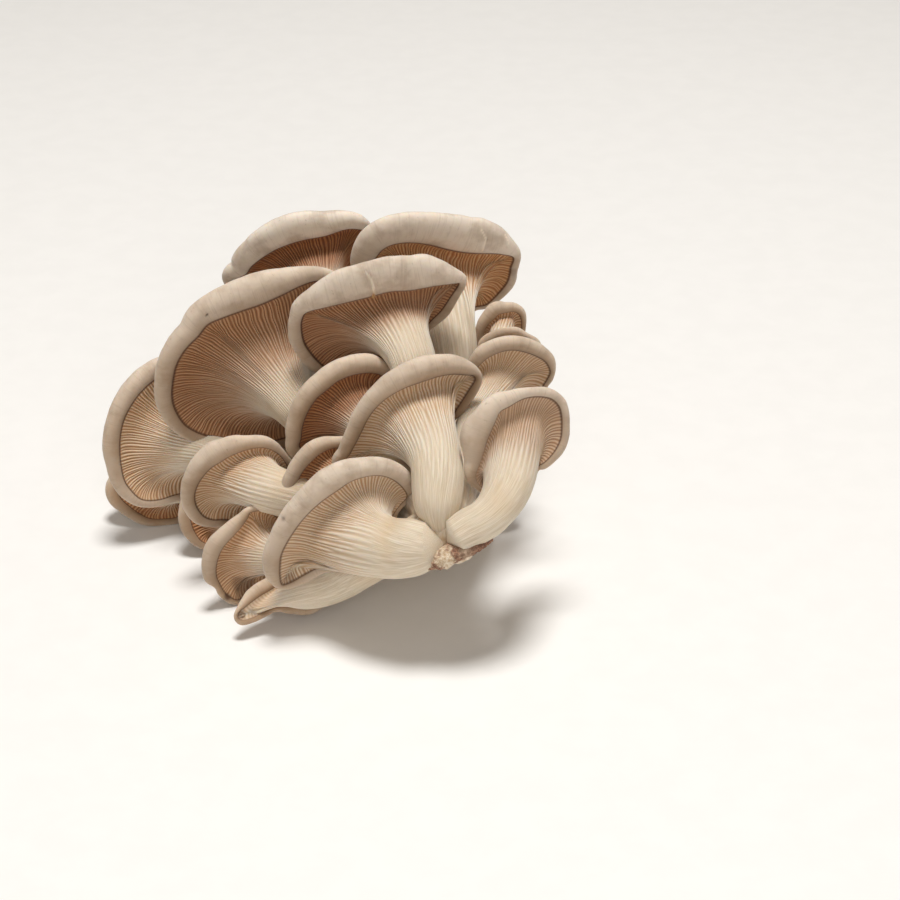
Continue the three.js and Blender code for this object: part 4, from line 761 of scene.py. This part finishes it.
    # root fan
    I = ids[0]
    uu, vv = uvrow(0)
    n = len(I)
    j = np.arange(n)
    tris.append(np.stack([np.zeros(n, int), I[(j + 1) % n], I[j]], 1))
    tuv.append(np.stack([np.stack([(uu[j] + uu[j + 1]) / 2, np.zeros(n)], 1), np.stack([uu[j + 1], np.full(n, vv)], 1), np.stack([uu[j], np.full(n, vv)], 1)], 1))
    for i in range(rows - 1):
        a, b = ids[i], ids[i + 1]
        ua, va = uvrow(i)
        ub, vb = uvrow(i + 1)
        if len(a) == len(b):
            n = len(a)
            j = np.arange(n)
            quads.append(np.stack([a[j], a[(j + 1) % n], b[(j + 1) % n], b[j]], 1))
            quv.append(np.stack([np.stack([ua[j], np.full(n, va)], 1), np.stack([ua[j + 1], np.full(n, va)], 1),
                                 np.stack([ub[j + 1], np.full(n, vb)], 1), np.stack([ub[j], np.full(n, vb)], 1)], 1))
        else:
            up = len(b) > len(a)      # the finer row is above
            co, fi = (a, b) if up else (b, a)
            uc, vc, uf, vf = (ua, va, ub, vb) if up else (ub, vb, ua, va)
            n = len(co)
            j = np.arange(n)
            f0, f1, f2 = fi[2 * j], fi[2 * j + 1], fi[(2 * j + 2) % len(fi)]
            c0, c1 = co[j], co[(j + 1) % n]
            P0 = lambda arr, idx, val: np.stack([arr[idx], np.full(n, val)], 1)
            U = {"f0": P0(uf, 2 * j, vf), "f1": P0(uf, 2 * j + 1, vf), "f2": P0(uf, 2 * j + 2, vf), "c0": P0(uc, j, vc), "c1": P0(uc, j + 1, vc)}
            W = {"f0": f0, "f1": f1, "f2": f2, "c0": c0, "c1": c1}
            trio = [("c0", "f1", "f0"), ("c0", "c1", "f1"), ("c1", "f2", "f1")]
            if not up:
                trio = [t[::-1] for t in trio]
            for t in trio:
                tris.append(np.stack([W[q] for q in t], 1))
                tuv.append(np.stack([U[q] for q in t], 1))
    I = ids[-1]
    uu, vv = uvrow(rows - 1)
    n = len(I)
    j = np.arange(n)
    last = len(verts) - 1
    tris.append(np.stack([I[j], I[(j + 1) % n], np.full(n, last)], 1))
    tuv.append(np.stack([np.stack([uu[j], np.full(n, vv)], 1), np.stack([uu[j + 1], np.full(n, vv)], 1), np.stack([(uu[j] + uu[j + 1]) / 2, np.ones(n)], 1)], 1))
    tris, quads = np.vstack(tris), np.vstack(quads)
    tuv, quv = np.vstack(tuv), np.vstack(quv)
    v = verts
    vol = (np.einsum("ij,ij->i", v[quads[:, 0]], np.cross(v[quads[:, 1]], v[quads[:, 2]])).sum()
           + np.einsum("ij,ij->i", v[quads[:, 0]], np.cross(v[quads[:, 2]], v[quads[:, 3]])).sum()
           + np.einsum("ij,ij->i", v[tris[:, 0]], np.cross(v[tris[:, 1]], v[tris[:, 2]])).sum())
    if vol < 0:
        tris, quads, tuv, quv = tris[:, ::-1], quads[:, ::-1], tuv[:, ::-1], quv[:, ::-1]
    uv = np.concatenate([tuv.reshape(-1, 2), quv.reshape(-1, 2)])
    return add_mesh(name + "_look", verts, tris, quads, uv,
                    {"profile": A, "ringpos": ring_at, "spot_and_shade": spots_and_shade, "painted_flank_shade": painted_flank_shades})


def grid_mesh(name, rows, first, last, attributes_of=None):
    """A closed mesh from rows of equal length with a pole at each end."""
    n = len(rows[0])
    verts = np.vstack([[first]] + list(rows) + [[last]])
    j = np.arange(n)
    tris = [np.stack([np.zeros(n, int), 1 + (j + 1) % n, 1 + j], 1)]
    quads = []
    for i in range(len(rows) - 1):
        a, b = 1 + i * n, 1 + (i + 1) * n
        quads.append(np.stack([a + j, a + (j + 1) % n, b + (j + 1) % n, b + j], 1))
    a, k = 1 + (len(rows) - 1) * n, len(verts) - 1
    tris.append(np.stack([a + j, a + (j + 1) % n, np.full(n, k)], 1))
    tris, quads = np.vstack(tris), np.vstack(quads)
    v = verts
    vol = (np.einsum("ij,ij->i", v[quads[:, 0]], np.cross(v[quads[:, 1]], v[quads[:, 2]])).sum()
           + np.einsum("ij,ij->i", v[quads[:, 0]], np.cross(v[quads[:, 2]], v[quads[:, 3]])).sum()
           + np.einsum("ij,ij->i", v[tris[:, 0]], np.cross(v[tris[:, 1]], v[tris[:, 2]])).sum())
    if vol < 0:
        tris, quads = tris[:, ::-1], quads[:, ::-1]
    return verts, tris, quads


def base_clump():
    c, (rx, ry, rz) = np.array(BASE_CLUMP["centre"]), BASE_CLUMP["radii"]
    rows = []
    n, m = 160, 90
    a = np.arange(n) / n * 2 * math.pi
    for i in range(1, m):
        b = math.pi * i / m - math.pi / 2
        k = 1 + 0.09 * np.sin(2 * a + 1) * math.sin(b + math.pi / 2) + 0.06 * np.sin(5 * a + 3 * (b + math.pi / 2))
        rows.append(c + np.stack([k * rx * math.cos(b) * np.cos(a), k * ry * math.cos(b) * np.sin(a),
                                  k * rz * math.sin(b)], 1))
    P = np.array(rows)
    out = P - c
    out /= np.linalg.norm(out, axis=2)[:, :, None]
    f = P.reshape(-1, 3)
    shift = (0.8 * noise(f, 7, 3) + 0.45 * noise(f, 3, 4) + 0.22 * noise(f * [1, 1, 0.35], 1.1, 5)).reshape(P.shape[:2])
    P = P + out * (shift - 0.6)[:, :, None]
    verts, tris, quads = grid_mesh("base", list(P), c - [0, 0, rz - 0.4], c + [0, 0, rz - 0.4])
    return add_mesh("base_clump_look", verts, tris, quads)


def crust():
    """The rag of substrate: a torn strip of crumbs held together by mycelium."""
    line = np.array(CRUST_LINE, float)
    fine, _ = stem_curve(line, 70, unit(line[-1, :3] - line[-2, :3]))
    rows = []
    n = 72
    a = np.arange(n) / n * 2 * math.pi
    for i, p in enumerate(fine):
        t = unit(fine[min(i + 1, len(fine) - 1), :3] - fine[max(i - 1, 0), :3])
        s = unit(np.cross(t, [0, 0, 1]))
        u = np.cross(s, t)
        row = p[:3] + 1.2 * p[3] * (1.5 * np.outer(np.cos(a), s) + np.outer(np.sin(a), u))
        out = row - p[:3]
        out /= np.linalg.norm(out, axis=1)[:, None]
        row = row + out * (0.55 * noise(row, 2.6, 21) + 0.4 * noise(row, 1.2, 22) + 0.25 * noise(row, 0.6, 23))[:, None]
        rows.append(row)
    d0, d1 = unit(fine[0, :3] - fine[1, :3]), unit(fine[-1, :3] - fine[-2, :3])
    V, T, Q = grid_mesh("crust", rows, fine[0, :3] + d0 * fine[0, 3] * 0.6, fine[-1, :3] + d1 * fine[-1, 3] * 0.6)
    verts, tris, quads = [V], [T], [Q]
    rng = np.random.RandomState(5)
    base = len(V)
    for k in range(46):          # loose crumbs stuck on it
        p = fine[rng.randint(8, len(fine))]
        direction = unit(rng.normal(size=3) + [0, -0.8, 0.2])
        c = p[:3] + direction * p[3] * rng.uniform(0.85, 1.25) * [1.2, 1, 1]
        r = rng.uniform(0.35, 1.05)
        m, n = 7, 10
        rows = []
        a = np.arange(n) / n * 2 * math.pi
        stretch = rng.uniform(0.6, 1.5, 3)
        for i in range(1, m):
            b = math.pi * i / m - math.pi / 2
            row = np.stack([math.cos(b) * np.cos(a), math.cos(b) * np.sin(a), np.full(n, math.sin(b))], 1)
            row = row * r * stretch * (1 + 0.35 * noise(row * 1.3 + k * 3.1, 0.7, 31))[:, None]
            rows.append(c + row)
        v, t, q = grid_mesh("crumb", rows, c - [0, 0, r * stretch[2]], c + [0, 0, r * stretch[2]])
        verts.append(v)
        tris.append(t + base)
        quads.append(q + base)
        base += len(v)
    return add_mesh("substrate_crust_look", np.vstack(verts), np.vstack(tris), np.vstack(quads))


# ------------------------------------------------------------------ materials
def srgb(r, g, b):
    c = [x / 255.0 for x in (r, g, b)]
    return tuple((x / 12.92 if x <= 0.04045 else ((x + 0.055) / 1.055) ** 2.4) for x in c) + (1.0,)


class Nodes:
    def __init__(self, name):
        self.mat = bpy.data.materials.new(name)
        self.mat.use_nodes = True
        self.t = self.mat.node_tree
        self.bsdf = next(n for n in self.t.nodes if n.type == "BSDF_PRINCIPLED")

    def link(self, a, b):
        self.t.links.new(a, b)

    def put(self, socket, value):
        if hasattr(value, "is_output"):
            self.link(value, socket)
        else:
            socket.default_value = value

    def attribute(self, name):
        n = self.t.nodes.new("ShaderNodeAttribute")
        n.attribute_name = name
        return n

    def xyz(self, vector):
        n = self.t.nodes.new("ShaderNodeSeparateXYZ")
        self.link(vector, n.inputs[0])
        return n.outputs[0], n.outputs[1], n.outputs[2]

    def math(self, op, a, b=0.0, clamp=False):
        n = self.t.nodes.new("ShaderNodeMath")
        n.operation, n.use_clamp = op, clamp
        self.put(n.inputs[0], a)
        self.put(n.inputs[1], b)
        return n.outputs[0]

    def span(self, x, a, b, lo=0.0, hi=1.0):
        n = self.t.nodes.new("ShaderNodeMapRange")
        n.interpolation_type = "SMOOTHSTEP"
        self.put(n.inputs["Value"], x)
        n.inputs["From Min"].default_value, n.inputs["From Max"].default_value = a, b
        n.inputs["To Min"].default_value, n.inputs["To Max"].default_value = lo, hi
        return n.outputs[0]

    def scaled(self, vector, s):
        n = self.t.nodes.new("ShaderNodeVectorMath")
        n.operation = "MULTIPLY"
        self.link(vector, n.inputs[0])
        n.inputs[1].default_value = s
        return n.outputs[0]

    def noise(self, vector, scale, detail=3.0, rough=0.55):
        n = self.t.nodes.new("ShaderNodeTexNoise")
        self.link(vector, n.inputs["Vector"])
        n.inputs["Scale"].default_value = scale
        n.inputs["Detail"].default_value = detail
        n.inputs["Roughness"].default_value = rough
        return n.outputs[0]

    def mix(self, f, a, b, kind="MIX"):
        n = self.t.nodes.new("ShaderNodeMix")
        n.data_type, n.blend_type = "RGBA", kind
        self.put(n.inputs[0], f)
        self.put(n.inputs[6], a)
        self.put(n.inputs[7], b)
        return n.outputs[2]

    def ramp(self, x, stops):
        n = self.t.nodes.new("ShaderNodeValToRGB")
        self.put(n.inputs[0], x)
        el = n.color_ramp.elements
        while len(el) < len(stops):
            el.new(0.5)
        for e, (at, colour) in zip(el, stops):
            e.position, e.color = at, colour
        return n.outputs[0]

    def bump(self, height, strength, distance, before=None):
        n = self.t.nodes.new("ShaderNodeBump")
        n.inputs["Strength"].default_value = strength
        n.inputs["Distance"].default_value = distance
        self.link(height, n.inputs["Height"])
        if before is not None:
            self.link(before, n.inputs["Normal"])
        return n.outputs[0]


def mixc(a, b, t):
    return tuple(x * (1 - t) + y * t for x, y in zip(a, b))


def flesh(name, warm, dim, pale, edge):
    m = Nodes(name)
    prof = m.attribute("profile").outputs["Vector"]
    ring = m.attribute("ringpos").outputs["Vector"]
    p, h, crack = m.xyz(prof)
    obj = m.t.nodes.new("ShaderNodeTexCoord").outputs["Object"]
    streak = m.noise(m.scaled(ring, (1.6, 1.6, 0.11)), 1.0, 3.0, 0.6)
    fibre = m.noise(m.scaled(ring, (4.5, 4.5, 0.30)), 1.0, 2.0, 0.6)
    mottle = m.noise(obj, 95.0, 3.0, 0.6)
    patch = m.noise(obj, 34.0, 2.0, 0.5)
    fine = m.noise(obj, 1500.0, 2.0, 0.5)
    velvet = m.noise(obj, 5200.0, 1.0, 0.5)

    # stem
    stem = m.mix(m.span(streak, 0.30, 0.70), srgb(204, 187, 161), srgb(234, 222, 204))
    stem = m.mix(m.span(patch, 0.50, 0.72, 0, 0.50), stem, srgb(212, 184, 146))
    # gills: the valleys between blades darker and browner than the crests, painted shade; the layer darker and warmer
    # towards the rim, painted shade under the overhanging rim together with the gills' own warmer tone
    crest = m.mix(m.span(p, 1.10, 1.95), srgb(236, 226, 211), mixc(srgb(226, 209, 186), srgb(222, 174, 122), warm))
    valley = m.mix(m.span(p, 0.9, 1.7), srgb(206, 187, 160), mixc(srgb(188, 154, 116), srgb(180, 118, 66), warm))
    valley = m.mix(m.span(p, 1.5, 1.97, 0, 0.45), valley, mixc(srgb(166, 120, 78), srgb(140, 80, 36), warm))
    gill = m.mix(m.span(h, 0.05, 0.80), valley, crest)
    gill = m.mix(m.span(mottle, 0.40, 0.70, 0, 0.30), gill, mixc(srgb(206, 176, 138), srgb(180, 128, 80), warm))
    gill = m.mix(m.span(streak, 0.52, 0.80, 0, 0.28), gill, mixc(srgb(190, 158, 118), srgb(160, 104, 58), warm))
    gill = m.mix(m.span(p, 1.25, 1.95, 0, 0.06 + 0.26 * warm), gill, srgb(166, 110, 64))
    # painted shade: the outer gill layer darkened and browned on caps that lie in shade
    gill = m.mix(m.span(p, 0.95, 1.5, 0, dim), gill, m.mix(m.span(h, 0.1, 0.8), srgb(104, 56, 26), srgb(160, 100, 56)))
    # painted shade: the stem darker in the valleys between the gill ridges that run down it
    stem = m.mix(m.span(h, 0.7, 0.1, 0, 0.25), stem, srgb(210, 190, 160))
    under = m.mix(m.span(p, 0.80, 1.45), stem, gill)
    # rolled rim and cap: the ramp runs from dark at the gill edge to lightest over the crown of the roll, painted shade
    # and light across the roll; beyond the roll it darkens towards the cap centre, the cap's own tone
    t = m.math("SUBTRACT", p, 2.0)
    lift = lambda c: mixc(c, srgb(236, 225, 211), 0.60 * pale)
    rim = m.ramp(m.math("MULTIPLY", t, 0.5), [
        (0.0, srgb(96, 68, 46)), (0.018, srgb(126, 98, 72)), (0.05, lift(srgb(152, 124, 96))),
        (0.13, lift(srgb(182, 156, 130))), (0.24, lift(srgb(208, 188, 166))), (0.42, lift(srgb(216, 199, 180))),
        (0.58, srgb(194, 175, 154)), (0.80, srgb(176, 156, 134)), (1.0, srgb(160, 139, 117))])
    # painted shade: the rim darker and browner on the lower flanks of each cap, where less light falls
    painted_flank_shade = m.attribute("painted_flank_shade").outputs["Fac"]
    rim = m.mix(m.math("MULTIPLY", painted_flank_shade, m.span(p, 2.9, 2.4, 0.28, 0.58)), rim, srgb(156, 127, 97))
    rim = m.mix(m.span(mottle, 0.42, 0.70, 0, 0.42), rim, srgb(150, 124, 98))
    rim = m.mix(m.span(patch, 0.44, 0.66, 0, 0.34), rim, lift(srgb(212, 196, 178)))
    rim = m.mix(m.span(streak, 0.50, 0.75, 0, 0.22), rim, srgb(142, 118, 96))
    rim = m.mix(m.math("MULTIPLY", m.span(fibre, 0.45, 0.75), m.span(p, 2.9, 3.3, 0, 0.35)), rim, srgb(132, 112, 94))
    scuff = m.math("MULTIPLY", m.span(m.noise(m.scaled(ring, (0.9, 0.9, 0.7)), 1.0, 5.0, 0.75), 0.60, 0.72), m.span(p, 2.1, 2.4, 0, 0.45))
    rim = m.mix(scuff, rim, srgb(132, 106, 82))
    colour = m.mix(m.span(p, 1.99, 2.012), under, rim)
    # thin dark line where the gills end: painted shade in the crease under the rolled rim
    line = m.math("MULTIPLY", m.span(p, 1.975, 1.994), m.span(p, 2.035, 2.010))
    colour = m.mix(m.math("MULTIPLY", line, edge), colour, srgb(74, 46, 30))
    # dark marks: real spots, and painted shade in the hollows among the stems and caps
    spot_and_shade = m.attribute("spot_and_shade").outputs["Fac"]
    colour = m.mix(spot_and_shade, colour, srgb(72, 46, 28))
    colour = m.mix(crack, colour, m.mix(m.span(p, 2.02, 2.25), srgb(206, 166, 118), srgb(240, 228, 208)))
    m.link(colour, m.bsdf.inputs["Base Color"])

    rough = m.mix(m.span(p, 1.95, 2.05), m.span(streak, 0.3, 0.7, 0.50, 0.66), m.span(mottle, 0.3, 0.7, 0.60, 0.80))
    m.link(rough, m.bsdf.inputs["Roughness"])
    lines = m.math("ADD", m.math("MULTIPLY", streak, 1.0), m.math("MULTIPLY", fibre, 0.55))
    b = m.bump(m.math("MULTIPLY", lines, m.span(p, 1.95, 2.1, 1.0, 0.28)), 0.55, 0.00035)
    b = m.bump(m.math("ADD", m.math("MULTIPLY", fine, 0.8), m.math("MULTIPLY", mottle, 0.6)), 0.35, 0.00018, b)
    b = m.bump(velvet, 0.25, 0.00005, b)
    m.link(b, m.bsdf.inputs["Normal"])
    s = m.bsdf.inputs
    s["Subsurface Weight"].default_value = 0.35
    s["Subsurface Radius"].default_value = (1.0, 0.55, 0.28)
    s["Subsurface Scale"].default_value = 0.0022
    s["Specular IOR Level"].default_value = 0.32
    s["Sheen Weight"].default_value = 0.12
    s["Sheen Roughness"].default_value = 0.5
    return m.mat


def base_material():
    m = Nodes("base flesh")
    obj = m.t.nodes.new("ShaderNodeTexCoord").outputs["Object"]
    fibre = m.noise(m.scaled(obj, (700, 700, 160)), 1.0, 3.0, 0.6)
    patch = m.noise(obj, 140.0, 4.0, 0.6)
    c = m.mix(m.span(fibre, 0.35, 0.7), srgb(208, 188, 160), srgb(240, 231, 217))
    c = m.mix(m.span(patch, 0.45, 0.68, 0, 0.6), c, srgb(196, 164, 124))
    m.link(c, m.bsdf.inputs["Base Color"])
    m.link(m.span(patch, 0.3, 0.7, 0.6, 0.85), m.bsdf.inputs["Roughness"])
    m.link(m.bump(m.math("ADD", fibre, patch), 0.5, 0.0005), m.bsdf.inputs["Normal"])
    m.bsdf.inputs["Subsurface Weight"].default_value = 0.15
    m.bsdf.inputs["Subsurface Radius"].default_value = (1.0, 0.6, 0.35)
    m.bsdf.inputs["Subsurface Scale"].default_value = 0.002
    return m.mat


def crust_material():
    m = Nodes("growing substrate")
    obj = m.t.nodes.new("ShaderNodeTexCoord").outputs["Object"]
    grit = m.noise(obj, 900.0, 4.0, 0.65)
    patch = m.noise(obj, 170.0, 3.0, 0.6)
    x, y, z = m.xyz(obj)
    c = m.mix(m.span(grit, 0.35, 0.68), srgb(96, 62, 48), srgb(176, 132, 104))
    myc = m.math("MULTIPLY", m.span(patch, 0.38, 0.56), m.span(x, 0.0604, 0.0491), clamp=True)
    c = m.mix(myc, c, m.mix(m.span(grit, 0.3, 0.7), srgb(190, 160, 124), srgb(232, 218, 196)))
    m.link(c, m.bsdf.inputs["Base Color"])
    m.link(m.span(grit, 0.3, 0.7, 0.75, 0.95), m.bsdf.inputs["Roughness"])
    m.link(m.bump(m.math("ADD", grit, patch), 0.8, 0.0006), m.bsdf.inputs["Normal"])
    return m.mat


# ------------------------------------------------------------------ pieces
for number, (node, spec) in enumerate(BODIES.items()):
    look = LOOKS[node]
    piece = fruit_body(node, spec, look, number + 1)
    piece.data.materials.append(flesh(node + " flesh", look["warm"], look["dim"], look["pale"], look["edge"]))
    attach(piece, "root")
    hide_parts(node)

piece = base_clump()
piece.data.materials.append(base_material())
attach(piece, "root")
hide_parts("base_clump")

piece = crust()
piece.data.materials.append(crust_material())
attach(piece, "root")
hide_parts("substrate_crust")

# ------------------------------------------------------------------ stage
low, high = CAD_BOX
centre = (low + high) / 2

floor_mesh = bpy.data.meshes.new("floor")
S = 4.0
floor_mesh.from_pydata([(-S, -S, low.z), (S, -S, low.z), (S, S, low.z), (-S, S, low.z)], [], [(0, 1, 2, 3)])
floor = bpy.data.objects.new("floor", floor_mesh)
bpy.context.scene.collection.objects.link(floor)
f = Nodes("pale floor")
speck = f.noise(f.t.nodes.new("ShaderNodeTexCoord").outputs["Object"], 60.0, 2.0)
f.link(f.mix(f.span(speck, 0.3, 0.7), srgb(246, 245, 243), srgb(248, 247, 245)), f.bsdf.inputs["Base Color"])
f.bsdf.inputs["Roughness"].default_value = 0.9
floor_mesh.materials.append(f.mat)


def area(name, place, size, energy, colour=(1, 1, 1)):
    data = bpy.data.lights.new(name, "AREA")
    data.shape, data.size, data.energy, data.color = "DISK", size, energy, colour
    obj = bpy.data.objects.new(name, data)
    bpy.context.scene.collection.objects.link(obj)
    obj.location = centre + Vector(place)
    obj.rotation_euler = (-Vector(place)).to_track_quat("-Z", "Y").to_euler()
    return obj


area("key", (0.05, -0.05, 2.00), 0.6, 34.5, (1.0, 0.985, 0.96))
area("front", (0.15, -1.60, 0.85), 1.0, 7.0, (1.0, 0.975, 0.94))

world = bpy.data.worlds.new("studio")
bpy.context.scene.world = world
world.use_nodes = True
world.node_tree.nodes["Background"].inputs["Color"].default_value = (1.0, 0.91, 0.81, 1)
world.node_tree.nodes["Background"].inputs["Strength"].default_value = 0.20

camera_data = bpy.data.cameras.new("camera")
camera_data.lens, camera_data.sensor_width = 90.0, 36.0
camera_data.clip_start, camera_data.clip_end = 0.01, 20.0
camera = bpy.data.objects.new("camera", camera_data)
bpy.context.scene.collection.objects.link(camera)
camera.location = centre + (Vector((0.049097, -0.793762, 0.507085)) - Vector((0.0, 0.0, 0.066658)))
camera.rotation_euler = (math.radians(60.0), 0.0, 0.0)
bpy.context.scene.camera = camera
bpy.context.scene.view_settings.view_transform = "Standard"
